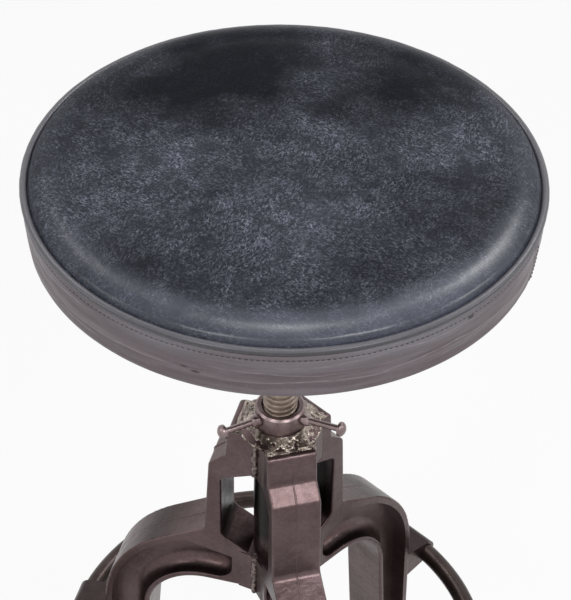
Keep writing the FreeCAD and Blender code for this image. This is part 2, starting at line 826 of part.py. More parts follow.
def seat_board():
    body = new_body("seat_board")
    outline = new_sketch(body, "board_outline", "XY_Plane", board_bottom)
    draw_circle(outline, 0, 0, board_radius)
    pad(body, outline, "board", size["board_thickness"])
    gap = size["bolt_hole_gap"]
    cuts = {
        "bolt_way": (size["bolt_radius"] + gap, size["board_thickness"]),
        "barrel_way": (size["tee_nut_barrel_radius"] + gap, size["tee_nut_barrel_length"] + gap),
        "plate_way": (size["tee_nut_radius"] + gap, size["tee_nut_plate"]),
    }
    for name, (radius, depth) in cuts.items():
        holes = new_sketch(body, f"{name}_outline", "XY_Plane", board_top)
        for step in range(BOLT_COUNT):
            angle = math.radians(45 + 360 / BOLT_COUNT * step)
            draw_circle(holes, size["bolt_circle_radius"] * math.cos(angle),
                        size["bolt_circle_radius"] * math.sin(angle), radius)
        cut = body.newObject("PartDesign::Pocket", name)
        cut.Profile = holes
        cut.setExpression("Length", depth.text)
        body.Tip = cut
    return body


def crown_curve(drop):
    """Radii and heights of the crown, lowered by the drop, from the middle to the edge."""
    break_radius = size["crown_break_radius"]
    sag = size["crown_break_drop"]
    crown_radius = (break_radius * break_radius + sag * sag) / (sag * 2)
    top = size["seat_edge_height"] + size["crown_rise"]
    return [
        (ZERO, top - drop, crown_radius, 1),
        (break_radius, top - sag - drop, size["crown_shoulder_curve"], 1),
    ]


def leather_top():
    """The domed top panel, sewn to the band under the piping."""
    body = new_body("leather_top")
    edge = piping_centre_radius - size["piping_diameter"] / 2 - 0.1
    thickness = size["leather_thickness"]
    upper = crown_curve(ZERO)
    lower = crown_curve(thickness)
    revolve(body, "panel", [
        upper[0],
        upper[1],
        (edge, size["seat_edge_height"] + 0.5),
        (edge, size["seat_edge_height"] - thickness, size["crown_shoulder_curve"], -1),
        (lower[1][0], lower[1][1], lower[0][2], -1),
        (lower[0][0], lower[0][1]),
    ])
    return body


def seat_foam():
    """The padding between the board and the top panel."""
    body = new_body("seat_foam")
    curve = crown_curve(size["leather_thickness"] + size["soft_gap"])
    edge = board_radius
    revolve(body, "padding", [
        curve[0],
        curve[1],
        (edge, size["seat_edge_height"] - size["leather_thickness"] * 2),
        (edge, board_top + size["soft_gap"]),
        (0, board_top + size["soft_gap"]),
    ])
    return body


def leather_band():
    """The side band: a little bulged, drawn in below, with its hem turned under the board."""
    body = new_body("leather_band")
    thickness = size["leather_thickness"]
    corner = size["hem_corner_radius"]
    top = size["seat_edge_height"] - size["piping_diameter"] / 2 - 0.1
    bottom = seat_bottom
    hem = band_bottom_radius - size["hem_width"]
    revolve(body, "band", [
        (hem, bottom),
        (band_bottom_radius - corner, bottom, corner, -1),
        (band_bottom_radius, bottom + corner, size["band_bulge"], -1),
        (band_top_radius, top),
        (band_top_radius - thickness, top, size["band_bulge"], 1),
        (band_bottom_radius - thickness, bottom + corner, corner - thickness, 1),
        (band_bottom_radius - corner, bottom + thickness),
        (hem, bottom + thickness),
    ])
    return body


def top_piping():
    body = new_body("top_piping")
    section = new_sketch(body, "cord_section", "XZ_Plane")
    draw_circle(section, piping_centre_radius, size["seat_edge_height"], size["piping_diameter"] / 2)
    turned = body.newObject("PartDesign::Revolution", "cord")
    turned.Profile = section
    turned.ReferenceAxis = (section, ["V_Axis"])
    turned.Angle = 360
    body.Tip = turned
    return body


def dust_cover():
    """The cloth that closes the seat's underside round the flange."""
    body = new_body("dust_cover")
    inner = size["flange_radius"] + size["flange_cover_gap"]
    outer = band_bottom_radius - size["hem_width"] + size["cover_overlap"]
    revolve(body, "cloth", [
        (inner, seat_bottom - size["cover_thickness"]),
        (outer, seat_bottom - size["cover_thickness"]),
        (outer, seat_bottom),
        (inner, seat_bottom),
    ])
    return body


def build():
    """Makes every piece, in the order in which the stool is put together."""
    pieces = [centre_tube()]
    pieces.append(bush("thread_nut", tube_top - size["nut_length"], tube_top))
    pieces.append(bush("guide_bush", tube_bottom,
                       tube_bottom + size["guide_length"]))
    for name, degrees in LEG_ANGLES.items():
        pieces.append(leg_casting(f"leg_casting_{name}", degrees))
        pieces.append(glide(f"glide_{name}", degrees))
    pieces.append(foot_ring())
    pieces.append(lock_collar())
    for step, letter in enumerate(HANDLE_NAMES):
        turned = size["handle_turn_angle"].value + 360 / len(HANDLE_NAMES) * step
        pieces.append(lock_handle(f"lock_handle_{letter}", turned))
    pieces += [lead_screw(), stop_washer(), stop_bolt(), seat_flange(), cross_pin()]
    pieces += [flange_bolts(), tee_nuts(), seat_board(), dust_cover()]
    pieces += [seat_foam(), leather_band(), leather_top(), top_piping()]
    return pieces


def check_and_write(pieces):
    """Stops on a failed feature or shape, then writes one file for each piece."""
    doc.recompute()
    for feature in doc.Objects:
        if "Invalid" in feature.State or "Error" in feature.State:
            raise RuntimeError(f"{feature.Label}: {feature.State}")
    for piece in pieces:
        if piece.Shape.isNull() or not piece.Shape.isValid():
            raise RuntimeError(f"{piece.Label}: its shape is not valid")
    os.makedirs("parts", exist_ok=True)
    for piece in pieces:
        piece.Shape.exportStep(f"parts/{piece.Label}.step")
        print(piece.Label, len(piece.Shape.Solids), "solids", round(piece.Shape.Volume / 1000, 2), "cm3")


check_and_write(build())
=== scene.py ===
# %% [markdown]
# # A machinist stool
# The stool has a round leather seat on a threaded column. Three cast legs are welded round the column's tube,
# and a steel ring for the feet runs outside them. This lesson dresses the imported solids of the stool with
# what makes the real one look used: scratched leather, sewn edges, screw threads, welds and cast skin.

# %% Load the stool's solids
import json
import math

import bmesh
import bpy
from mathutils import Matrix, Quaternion, Vector, noise

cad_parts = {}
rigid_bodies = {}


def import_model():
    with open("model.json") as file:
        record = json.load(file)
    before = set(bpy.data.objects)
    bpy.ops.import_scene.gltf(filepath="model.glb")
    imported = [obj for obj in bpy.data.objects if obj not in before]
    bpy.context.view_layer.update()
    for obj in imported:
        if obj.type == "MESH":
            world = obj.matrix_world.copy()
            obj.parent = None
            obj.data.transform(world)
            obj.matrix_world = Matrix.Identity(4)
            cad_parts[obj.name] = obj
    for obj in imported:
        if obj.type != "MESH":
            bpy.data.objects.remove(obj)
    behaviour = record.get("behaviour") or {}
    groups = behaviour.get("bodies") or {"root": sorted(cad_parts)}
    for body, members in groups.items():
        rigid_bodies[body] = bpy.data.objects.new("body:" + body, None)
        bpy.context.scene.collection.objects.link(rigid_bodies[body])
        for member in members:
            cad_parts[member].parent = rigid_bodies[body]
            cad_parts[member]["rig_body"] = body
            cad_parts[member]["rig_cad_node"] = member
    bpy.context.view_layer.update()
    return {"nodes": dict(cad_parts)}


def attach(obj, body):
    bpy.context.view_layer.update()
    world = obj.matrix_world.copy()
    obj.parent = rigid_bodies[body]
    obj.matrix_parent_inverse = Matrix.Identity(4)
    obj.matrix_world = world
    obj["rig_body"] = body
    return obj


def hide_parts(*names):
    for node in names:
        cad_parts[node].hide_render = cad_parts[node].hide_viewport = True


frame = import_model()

MM = 0.001
print("solids loaded:", len(frame["nodes"]))

# %% [markdown]
# ## The camera
# The photograph looks down on the seat from the front and a little from the left. The stool was placed in
# front of a long lens, which keeps the seat's ellipse nearly true. A camera can be turned by angles alone,
# but a direction to look along and a small roll are easier to reason about, so those are used here.

# %% Place the camera
CAMERA_PLACE = Vector((-317.1, -1128.2, 1607.9)) * MM
CAMERA_TURN = math.radians(-15.81)
CAMERA_DROP = math.radians(41.29)
CAMERA_ROLL = math.radians(1.15)
CAMERA_LENS = 132.4

bpy.ops.object.camera_add(location=CAMERA_PLACE)
camera = bpy.context.object
camera.name = "camera"
look = Vector((-math.sin(CAMERA_TURN) * math.cos(CAMERA_DROP), math.cos(CAMERA_TURN) * math.cos(CAMERA_DROP),
               -math.sin(CAMERA_DROP)))
camera.rotation_mode = "QUATERNION"
camera.rotation_quaternion = look.to_track_quat("-Z", "Y") @ Quaternion((0, 0, 1), CAMERA_ROLL)
camera.data.lens = CAMERA_LENS
camera.data.sensor_width = 36
camera.data.clip_end = 20
bpy.context.scene.camera = camera
bpy.context.scene.view_settings.view_transform = "Standard"
print("camera height:", round(camera.location.z, 3))

# %% [markdown]
# ## Light and floor
# A studio picture of a dark object lives on what it reflects. Leather and waxed iron stay dark where they
# mirror nothing bright, and shine where a bend catches a lamp. Seven fairly small soft boxes give those
# gleams: one above, two in front, one at each side and two behind for the rim of the seat. The white
# surroundings come from the world. The camera, mirrors and clear things see it at full white, and matt
# surfaces get a weaker light.

# %% Set the world and the lamps
def seen_directly(nodes, links):
    """One for rays of the camera and for reflected or transmitted ones, and nought for scattered light."""
    rays = nodes.new("ShaderNodeLightPath")
    seen = rays.outputs["Is Camera Ray"]
    for kind in ("Is Glossy Ray", "Is Transmission Ray"):
        either = nodes.new("ShaderNodeMath")
        either.operation = "MAXIMUM"
        links.new(seen, either.inputs[0])
        links.new(rays.outputs[kind], either.inputs[1])
        seen = either.outputs[0]
    return seen


def make_world(daylight):
    """A white backdrop for the camera and for reflections, and a weaker light for everything else."""
    world = bpy.data.worlds.new("studio")
    bpy.context.scene.world = world
    world.use_nodes = True
    nodes, links = world.node_tree.nodes, world.node_tree.links
    backdrop = nodes["Background"]
    backdrop.inputs["Color"].default_value = (1, 1, 1, 1)
    strength = nodes.new("ShaderNodeMapRange")
    strength.inputs["To Min"].default_value = daylight
    strength.inputs["To Max"].default_value = 1
    links.new(seen_directly(nodes, links), strength.inputs["Value"])
    links.new(strength.outputs["Result"], backdrop.inputs["Strength"])


SEAT_MIDDLE = Vector((0, 0, 0.66))


def soft_box(name, turn, rise, distance, width, height, power):
    """A rectangular lamp that faces the seat, placed by its turn from the camera's side and its rise."""
    across = math.radians(turn) + CAMERA_TURN - math.pi / 2
    lifted = math.radians(rise)
    place = SEAT_MIDDLE + distance * Vector((math.cos(lifted) * math.cos(across),
                                             math.cos(lifted) * math.sin(across), math.sin(lifted)))
    bpy.ops.object.light_add(type="AREA", location=place)
    lamp = bpy.context.object
    lamp.name = name
    lamp.data.shape = "RECTANGLE"
    lamp.data.size = width
    lamp.data.size_y = height
    lamp.data.energy = power
    lamp.rotation_mode = "QUATERNION"
    lamp.rotation_quaternion = (SEAT_MIDDLE - place).to_track_quat("-Z", "Y")


LAMPS = (  # name, turn, rise, distance, width, height, power
    ("lamp_above", 180, 84, 1.9, 0.7, 0.3, 7.5),
    ("lamp_front_right", 32, 43, 2.0, 0.6, 0.42, 13),
    ("lamp_front_left", -28, 35, 2.1, 0.5, 0.36, 10.5),
    ("lamp_left", -76, 22, 2.1, 0.5, 0.5, 4.5),
    ("lamp_right", 82, 26, 2.1, 0.45, 0.45, 7),
    ("lamp_back_left", -138, 47, 2.0, 0.4, 0.45, 6.5),
    ("lamp_back_right", 136, 47, 2.0, 0.45, 0.5, 11),
)
make_world(daylight=0.2)
for lamp_row in LAMPS:
    soft_box(*lamp_row)

# %% Lay the floor
bpy.ops.mesh.primitive_plane_add(size=12, location=(0, 0, -0.0002))
floor = bpy.context.object
floor.name = "floor"
floor_paper = bpy.data.materials.new("floor_paper")
floor_paper.use_nodes = True
paper_nodes, paper_links = floor_paper.node_tree.nodes, floor_paper.node_tree.links
paper_nodes["Principled BSDF"].inputs["Base Color"].default_value = (0.86, 0.86, 0.86, 1)
paper_nodes["Principled BSDF"].inputs["Roughness"].default_value = 0.9
glow = paper_nodes.new("ShaderNodeEmission")
glow.inputs["Color"].default_value = (1, 1, 1, 1)
paper_mix = paper_nodes.new("ShaderNodeMixShader")
seen_share = paper_nodes.new("ShaderNodeMath")
seen_share.operation = "MULTIPLY"
seen_share.inputs[1].default_value = 0.88
paper_links.new(seen_directly(paper_nodes, paper_links), seen_share.inputs[0])
paper_links.new(seen_share.outputs[0], paper_mix.inputs["Fac"])
paper_links.new(paper_nodes["Principled BSDF"].outputs[0], paper_mix.inputs[1])
paper_links.new(glow.outputs[0], paper_mix.inputs[2])
paper_links.new(paper_mix.outputs[0], paper_nodes["Material Output"].inputs["Surface"])
floor.data.materials.append(floor_paper)

# %% [markdown]
# ## A short way to write finishes
# Each finish is a node material. Writing out every node would hide the idea, so a small helper adds the few
# kinds that all the finishes share: noise, colour ramps, mixes and bump, all read from Object coordinates.

# %% A helper for finishes
class Finish:
    """A material with short ways to add the nodes that the stool's finishes share."""

    def __init__(self, name):
        self.material = bpy.data.materials.new(name)
        self.material.use_nodes = True
        self.nodes = self.material.node_tree.nodes
        self.links = self.material.node_tree.links
        self.shader = self.nodes["Principled BSDF"]
        self.place = self.nodes.new("ShaderNodeTexCoord").outputs["Object"]

    def join(self, value, socket):
        """Links a socket, or sets a plain number or colour."""
        if isinstance(value, bpy.types.NodeSocket):
            self.links.new(value, socket)
        else:
            socket.default_value = value

    def add(self, kind, **sockets):
        """Adds a node, and sets or links its inputs, with spaces in their names written as underscores."""
        node = self.nodes.new(kind)
        for name, value in sockets.items():
            self.join(value, node.inputs[name.replace("_", " ")])
        return node

    def stretched(self, scale, turned=0, place=None):
        """Object coordinates, scaled and turned about Z, so that a pattern runs longer one way."""
        node = self.add("ShaderNodeMapping", Vector=place or self.place, Scale=[1 / size for size in scale],
                        Rotation=(0, 0, math.radians(turned)))
        node.vector_type = "TEXTURE"
        return node.outputs["Vector"]

    def bent(self, scale, reach):
        """Object coordinates pushed about by slow noise, so that straight patterns wander."""
        slow = self.add("ShaderNodeTexNoise", Vector=self.place, Scale=scale, Detail=2)
        push = self.nodes.new("ShaderNodeVectorMath")
        push.operation = "MULTIPLY_ADD"
        for value, socket in zip((slow.outputs["Color"], (reach, reach, reach), self.place), push.inputs):
            self.join(value, socket)
        return push.outputs["Vector"]

    def noise(self, scale, detail=4.0, roughness=0.55, distortion=0.0, place=None):
        return self.add("ShaderNodeTexNoise", Vector=place or self.place, Scale=scale, Detail=detail,
                        Roughness=roughness, Distortion=distortion).outputs["Fac"]

    def cells(self, scale):
        return self.add("ShaderNodeTexVoronoi", Vector=self.place, Scale=scale).outputs["Distance"]

    def ramp(self, value, stops):
        """A colour ramp. Each stop is a place from 0 to 1 and a grey value or a colour."""
        node = self.add("ShaderNodeValToRGB", Fac=value)
        bands = node.color_ramp.elements
        while len(bands) < len(stops):
            bands.new(0.5)
        for band, (at, colour) in zip(bands, stops):
            band.position = at
            band.color = (colour,) * 3 + (1,) if isinstance(colour, (int, float)) else (*colour, 1)
        return node.outputs["Color"]

    def math(self, kind, *values):
        node = self.nodes.new("ShaderNodeMath")
        node.operation = kind
        for value, socket in zip(values, node.inputs):
            self.join(value, socket)
        return node.outputs[0]

    def times(self, first, second):
        return self.math("MULTIPLY", first, second)

    def plus(self, first, second):
        return self.math("ADD", first, second)

    def parts(self, vector):
        """The three numbers of a vector, by the names X, Y and Z."""
        return self.add("ShaderNodeSeparateXYZ", Vector=vector).outputs

    def gate(self, value, start, end, kind="SMOOTHSTEP"):
        """A step from 0 at the start to 1 at the end, which may lie lower than the start."""
        node = self.add("ShaderNodeMapRange", Value=value, From_Min=start, From_Max=end)
        node.interpolation_type = kind
        return node.outputs["Result"]

    def attribute(self, name):
        """A number kept on the mesh, such as how far the hide is worn at each place."""
        node = self.nodes.new("ShaderNodeAttribute")
        node.attribute_name = name
        return node.outputs["Fac"]

    def blend(self, share, first, second):
        node = self.nodes.new("ShaderNodeMix")
        node.data_type = "RGBA"
        self.join(share, node.inputs["Factor"])
        self.join(first if isinstance(first, bpy.types.NodeSocket) else (*first, 1), node.inputs["A"])
        self.join(second if isinstance(second, bpy.types.NodeSocket) else (*second, 1), node.inputs["B"])
        return node.outputs["Result"]

    def bump(self, height, strength, distance, below=None):
        node = self.add("ShaderNodeBump", Height=height, Strength=strength, Distance=distance)
        if below is not None:
            self.join(below, node.inputs["Normal"])
        return node.outputs["Normal"]

    def wear(self, **sockets):
        """Sets or links sockets of the shader, with spaces written as underscores."""
        for name, value in sockets.items():
            socket = self.shader.inputs[name.replace("_", " ")]
            if isinstance(value, tuple) and len(value) == 3:
                value = (*value, 1)
            self.join(value, socket)
        return self.material

# %% [markdown]
# ## Leather
# The hide is waxed and rubbed. Its dark slate dye has worn through in cloudy patches to a paler grey-blue,
# and short fine scratches run across it. Clouds come from slow noise, the scratches from noise that is
# squeezed one way, and the grain from small cells in the bump. The side band is a browner piece of the same
# hide.

# %% Make the leathers
SCRATCH_ANGLES = (-28, 31, 97)


def scratch_marks(finish, scale, turned, place):
    """Fine broken scratches along one direction."""
    lengthwise = finish.stretched((1, 0.4, 1), turned, place)
    broken = finish.noise(scale, detail=2.5, roughness=0.65, place=lengthwise)
    return finish.ramp(broken, [(0.5, 0.0), (0.62, 1.0)])


def leather(name, dark, pale, clouds, gloss, worn_by=None, scratches=0.85):
    """Dyed hide: clouds of wear, short scratches that cross each other and a pebbled grain."""
    finish = Finish(name)
    slow = finish.noise(clouds, detail=4, roughness=0.6, distortion=0.5)
    patches = finish.noise(clouds * 3.1, detail=7, roughness=0.68)
    mixed = finish.plus(finish.times(slow, 0.5), finish.times(patches, 0.5))
    # On the seat's top this map also carries painted shade towards the back.
    if worn_by:
        mixed = finish.plus(mixed, finish.times(finish.attribute(worn_by), 0.26))
    worn = finish.ramp(mixed, [(0.2, 0.0), (0.82, 1.0)])
    wandering = finish.bent(38, 0.006)
    hatches = [scratch_marks(finish, 740 + 50 * row, angle, wandering)
               for row, angle in enumerate(SCRATCH_ANGLES)]
    chosen = finish.ramp(finish.noise(clouds * 2.3, detail=3), [(0.42, 0.0), (0.58, 1.0)])
    crossed = finish.blend(chosen, hatches[0], hatches[1])
    speckle = finish.ramp(finish.noise(900, detail=3, roughness=0.7), [(0.4, 0.25), (0.6, 1.0)])
    marks = finish.times(finish.math("MAXIMUM", crossed, finish.times(hatches[2], 0.7)), speckle)
    where = finish.ramp(finish.noise(clouds * 8, detail=5, roughness=0.72), [(0.38, 0.2), (0.62, 1.0)])
    rubbed = finish.times(finish.times(marks, where),
                        finish.plus(finish.times(worn, 0.9), 0.05))
    share = finish.plus(finish.times(worn, 0.09), finish.times(rubbed, scratches))
    colour = finish.blend(share, dark, pale)
    grain = finish.bump(finish.cells(820), 0.2, 0.0004)
    marked = finish.bump(marks, 0.2, 0.0002, below=grain)
    creased = finish.bump(finish.noise(60, detail=7, roughness=0.7), 0.3, 0.0011, below=marked)
    rough = finish.plus(finish.times(finish.noise(40, detail=4), 0.16), gloss)
    return finish, colour, rough, creased


def top_leather():
    """The seat's hide: worn in patches, with a gloss coat and a painted bluish sheen along the front and
    right of the rim.
    """
    finish, colour, rough, creased = leather("waxed_slate_leather", (0.003, 0.0033, 0.006),
                                             (0.34, 0.365, 0.45), 9, 0.34, worn_by="worn")
    # Painted sheen: the "stretched" mask lies on the rim towards the front and right, where the lamps are
    # mirrored; it tints the colour bluish there and sets the coat.
    gleam = finish.times(finish.attribute("stretched"),
                       finish.ramp(finish.noise(24, detail=5), [(0.3, 0.6), (0.6, 1.0)]))
    painted_sheen_colour = finish.blend(finish.times(gleam, 0.4), colour, (0.075, 0.088, 0.13))
    return finish.wear(Base_Color=painted_sheen_colour, Roughness=rough, Normal=creased, Specular_IOR_Level=0.04,
                       Coat_Weight=gleam, Coat_Roughness=0.3)


leather_top = top_leather()
print("leather made:", leather_top.name)

# %% [markdown]
# ## Iron and steel
# The legs are sand castings under a coat of dark, brownish wax. The skin is a little pebbled and rubbed paler
# where hands and shoes touch it. Painted shade darkens the insides of the windows beside the tube and the
# upward faces low on the legs, where the seat's shadow falls. The ring, the collar and the handles are
# smoother steel under the same wax, the screw is golden with old grease, and the welds are bright and uneven.

# %% Make the metals
def casting_painted_shade(finish):
    """Painted shade: near black inside the windows beside the tube, and darker upward faces low on the legs,
    where the seat's shadow falls.
    """
    place = finish.parts(finish.place)
    reach = finish.math("SQRT", finish.plus(finish.math("POWER", place["X"], 2.0),
                                            finish.math("POWER", place["Y"], 2.0)))
    window_heights = finish.times(finish.gate(place["Z"], 0.330, 0.352),
                                  finish.gate(place["Z"], 0.408, 0.4035))
    window = finish.times(finish.gate(reach, 0.0435, 0.0415), window_heights)
    facing = finish.parts(finish.nodes["Texture Coordinate"].outputs["Normal"])
    low_down = finish.times(finish.gate(place["Z"], 0.345, 0.315), 0.72)
    upward = finish.times(finish.gate(facing["Z"], 0.6, 0.84), low_down)
    return finish.math("MAXIMUM", finish.times(window, 0.93), upward)


def waxed_metal(name, dark, pale, pebble, gloss, metal, clouds=14, wax=0.5, painted_shade_at=None):
    """Metal under dark wax: cloudy colour, a pebbled skin, and a thin glossy coat that catches the lamps."""
    finish = Finish(name)
    slow = finish.noise(clouds, detail=6, roughness=0.62)
    specks = finish.noise(clouds * 22, detail=5, roughness=0.7)
    share = finish.ramp(finish.plus(finish.times(slow, 0.7), finish.times(specks, 0.3)),
                        [(0.38, 0.0), (0.64, 1.0)])
    colour = finish.blend(share, dark, pale)
    # Painted shade: where the mask says, the colour is darkened nearly to black.
    if painted_shade_at:
        colour = finish.blend(painted_shade_at(finish), colour, (0.006, 0.004, 0.004))
    skin = finish.bump(finish.noise(420, detail=6, roughness=0.6), 0.3, 0.0005 * pebble)
    lumps = finish.bump(finish.noise(70, detail=4, roughness=0.5), 0.5, 0.0011 * pebble, below=skin)
    rough = finish.plus(finish.times(finish.noise(90, detail=5), 0.22), gloss)
    return finish.wear(Base_Color=colour, Roughness=rough, Normal=lumps, Metallic=metal,
                       Specular_IOR_Level=0.2, Coat_Weight=wax, Coat_Roughness=0.27)


# The castings get painted shade in their windows and on their low upward faces.
cast_iron = waxed_metal("waxed_cast_iron", (0.070, 0.042, 0.040), (0.145, 0.100, 0.104), 1.0, 0.24,
                        metal=0.9, wax=0.12, painted_shade_at=casting_painted_shade)
ring_steel = waxed_metal("waxed_ring_steel", (0.028, 0.019, 0.017), (0.064, 0.046, 0.043), 0.4, 0.26,
                         clouds=30, metal=0.85, wax=0.15)
lock_steel = waxed_metal("waxed_lock_steel", (0.15, 0.10, 0.10), (0.32, 0.25, 0.25), 0.35, 0.22,
                         clouds=40, metal=0.85, wax=0.2)
screw_steel = waxed_metal("greased_screw_steel", (0.16, 0.118, 0.092), (0.40, 0.315, 0.26), 0.25, 0.3,
                          clouds=80, metal=0.6)
weld_metal = waxed_metal("weld_metal", (0.09, 0.066, 0.052), (0.52, 0.445, 0.385), 0.9, 0.2,
                         clouds=90, metal=0.75)
weld_seam = waxed_metal("weld_seam", (0.006, 0.004, 0.004), (0.36, 0.28, 0.26), 1.5, 0.2,
                        clouds=380, metal=0.8, wax=0.2)
bolt_steel = waxed_metal("dull_zinc_steel", (0.17, 0.16, 0.15), (0.36, 0.34, 0.31), 0.25, 0.3,
                         clouds=60, metal=0.85)
glide_steel = waxed_metal("worn_glide_steel", (0.22, 0.2, 0.185), (0.45, 0.43, 0.41), 0.3, 0.28,
                          clouds=70, metal=0.9)
bush_bronze = waxed_metal("machined_bronze", (0.28, 0.17, 0.07), (0.5, 0.34, 0.16), 0.2, 0.24,
                          clouds=60, metal=0.9)


def plywood():
    """Birch plywood seen mostly at its edge: thin layers of alternating tone and a faint grain."""
    finish = Finish("plywood")
    layers = finish.noise(1, detail=0, place=finish.stretched((2, 2, 520)))
    grain = finish.noise(1, detail=5, place=finish.stretched((30, 400, 60)))
    share = finish.plus(finish.times(layers, 0.7), finish.times(grain, 0.3))
    layered = finish.ramp(share, [(0.35, 0.0), (0.65, 1.0)])
    colour = finish.blend(layered, (0.33, 0.2, 0.1), (0.62, 0.45, 0.28))
    return finish.wear(Base_Color=colour, Roughness=0.7, Normal=finish.bump(grain, 0.3, 0.0004))


def dust_cloth():
    """Black cambric: two crossed rows of threads."""
    finish = Finish("black_cambric")
    weave = finish.times(finish.noise(1, detail=1, place=finish.stretched((2600, 160, 160))),
                       finish.noise(1, detail=1, place=finish.stretched((160, 2600, 160))))
    woven = finish.ramp(weave, [(0.1, 0.0), (0.45, 1.0)])
    colour = finish.blend(woven, (0.008, 0.008, 0.009), (0.05, 0.05, 0.052))
    return finish.wear(Base_Color=colour, Roughness=0.92, Normal=finish.bump(weave, 0.5, 0.0003))


FINISHED_NODES = (
    (cast_iron, ("centre_tube", "leg_casting_front", "leg_casting_right", "leg_casting_left", "seat_flange")),
    (ring_steel, ("foot_ring",)),
    (glide_steel, ("glide_front", "glide_right", "glide_left")),
    (lock_steel, ("lock_collar", "lock_handle_a", "lock_handle_b", "lock_handle_c")),
    (bolt_steel, ("stop_washer", "stop_bolt", "cross_pin", "flange_bolts", "tee_nuts")),
    (bush_bronze, ("thread_nut", "guide_bush")),
    (plywood(), ("seat_board",)),
    (dust_cloth(), ("dust_cover",)),
)
for node_finish, node_names in FINISHED_NODES:
    for node_name in node_names:
        for material_slot in frame["nodes"][node_name].material_slots:
            material_slot.material = node_finish
print("solids given a finish:", sum(len(node_names) for _, node_names in FINISHED_NODES))

# %% [markdown]
# ## Tools for turned pieces
# A stool is mostly turned work. The same tool serves for the cushion, the side band and the weld round the
# tube: the side view is drawn as a ring of points, and Spin carries it once round the column's axis.

# %% Tools for modelling
def deselect_all():
    bpy.ops.object.select_all(action="DESELECT")


def named(name):
    """Gives the active object and its mesh a name, and returns it."""
    piece = bpy.context.object
    piece.name = piece.data.name = name
    return piece


def pick(piece):
    """Makes this piece the only one selected, and the active one."""
    deselect_all()
    piece.select_set(True)
    bpy.context.view_layer.objects.active = piece


def edit(piece, kind="VERT"):
    """Puts only this piece in edit mode, with nothing in it selected."""
    pick(piece)
    bpy.ops.object.mode_set(mode="EDIT")
    bpy.ops.mesh.select_mode(type=kind)
    bpy.ops.mesh.select_all(action="DESELECT")


def leave_edit():
    bpy.ops.object.mode_set(mode="OBJECT")


def tidy_mesh(piece):
    """Merges doubles and turns the faces outwards."""
    edit(piece)
    bpy.ops.mesh.select_all(action="SELECT")
    bpy.ops.mesh.remove_doubles(threshold=0.000002)
    bpy.ops.mesh.normals_make_consistent(inside=False)
    leave_edit()


def side_ring(name, side_view):
    """A closed ring of edges through a side view, given as (radius, height) in millimetres."""
    deselect_all()
    bpy.ops.mesh.primitive_circle_add(vertices=len(side_view), radius=1)
    ring = named(name)
    for vertex, (radius, height) in zip(ring.data.vertices, side_view):
        vertex.co = (radius * MM, 0, height * MM)
    return ring


def open_ring(ring):
    """Takes out the edge between the last point and the first, in edit mode."""
    mesh = bmesh.from_edit_mesh(ring.data)
    mesh.verts.ensure_lookup_table()
    mesh.edges.get((mesh.verts[0], mesh.verts[len(mesh.verts) - 1])).select_set(True)
    bmesh.update_edit_mesh(ring.data)
    bpy.ops.mesh.delete(type="EDGE")


def turned_piece(name, side_view, steps, closed=True):
    """Spins a side view once round the column's axis."""
    piece = side_ring(name, side_view)
    edit(piece, "EDGE")
    if not closed:
        open_ring(piece)
    bpy.ops.mesh.select_all(action="SELECT")
    bpy.ops.mesh.spin(steps=steps, angle=math.tau, center=(0, 0, 0), axis=(0, 0, 1))
    leave_edit()
    tidy_mesh(piece)
    return piece


def smooth(piece, sharpest):
    pick(piece)
    bpy.ops.object.shade_smooth_by_angle(angle=math.radians(sharpest))


def arc(centre, radius, start, end, steps):
    """Points on an arc of a side view, with angles in degrees from the outward direction."""
    turns = [math.radians(start + (end - start) * step / steps) for step in range(steps + 1)]
    return [(centre[0] + radius * math.cos(turn), centre[1] + radius * math.sin(turn)) for turn in turns]


def finish_piece(piece, material, body, stands_for=()):
    """Gives a piece its finish and its body, and hides the solids that it stands for."""
    piece.data.materials.clear()
    piece.data.materials.append(material)
    if stands_for:
        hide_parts(*stands_for)
    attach(piece, body)
    print(piece.name, "has", len(piece.data.polygons), "faces")


def around(vertex):
    """A vertex's radius and its direction from the front leg, in degrees towards the right."""
    return math.hypot(vertex.co.x, vertex.co.y), math.degrees(math.atan2(vertex.co.x, -vertex.co.y))


def toward(turn, height=0.0):
    """The step of length one from the axis at a turn in degrees from +X, with a height beside it."""
    angle = math.radians(turn)
    return Vector((math.cos(angle), math.sin(angle), height))

# %% [markdown]
# ## The cushion
# The padding is foam under one round panel of leather. It is nearly flat in the middle and falls to the sewn
# edge in a tight curve. A copy of the pad is remeshed to even squares and blown up by a short cloth
# simulation, as the foam presses the hide outwards, and the pad's own finer rings take its heights. Towards
# the seam the shape goes back to the drawn line, because there the piping holds it.

# %% Shape the cushion
SEAT_RADIUS, PIPING_RADIUS, SEAT_EDGE = 178.0, 2.6, 690.0
CROWN_TOP, CROWN_BREAK, CROWN_SAG = 704.0, 153.0, 3.0
RIM_BEND, SEAM_FALL, SEAM_WIDTH = 0.031, 3.8, 3.8
SEAM_RADIUS = SEAT_RADIUS - 2 * PIPING_RADIUS
CROWN_SPHERE = (CROWN_BREAK ** 2 + CROWN_SAG ** 2) / (2 * CROWN_SAG)


def crown_height(radius):
    """The drawn height of the leather over a radius, in millimetres."""
    if radius <= CROWN_BREAK:
        return CROWN_TOP - CROWN_SPHERE + math.sqrt(CROWN_SPHERE ** 2 - radius ** 2)
    past = min(radius, SEAM_RADIUS) - CROWN_BREAK
    last = max(0, past - (SEAM_RADIUS - CROWN_BREAK - SEAM_WIDTH)) / SEAM_WIDTH
    slope = CROWN_BREAK / CROWN_SPHERE
    return CROWN_TOP - CROWN_SAG - slope * past - RIM_BEND / 2 * past ** 2 - SEAM_FALL * last ** 2.2


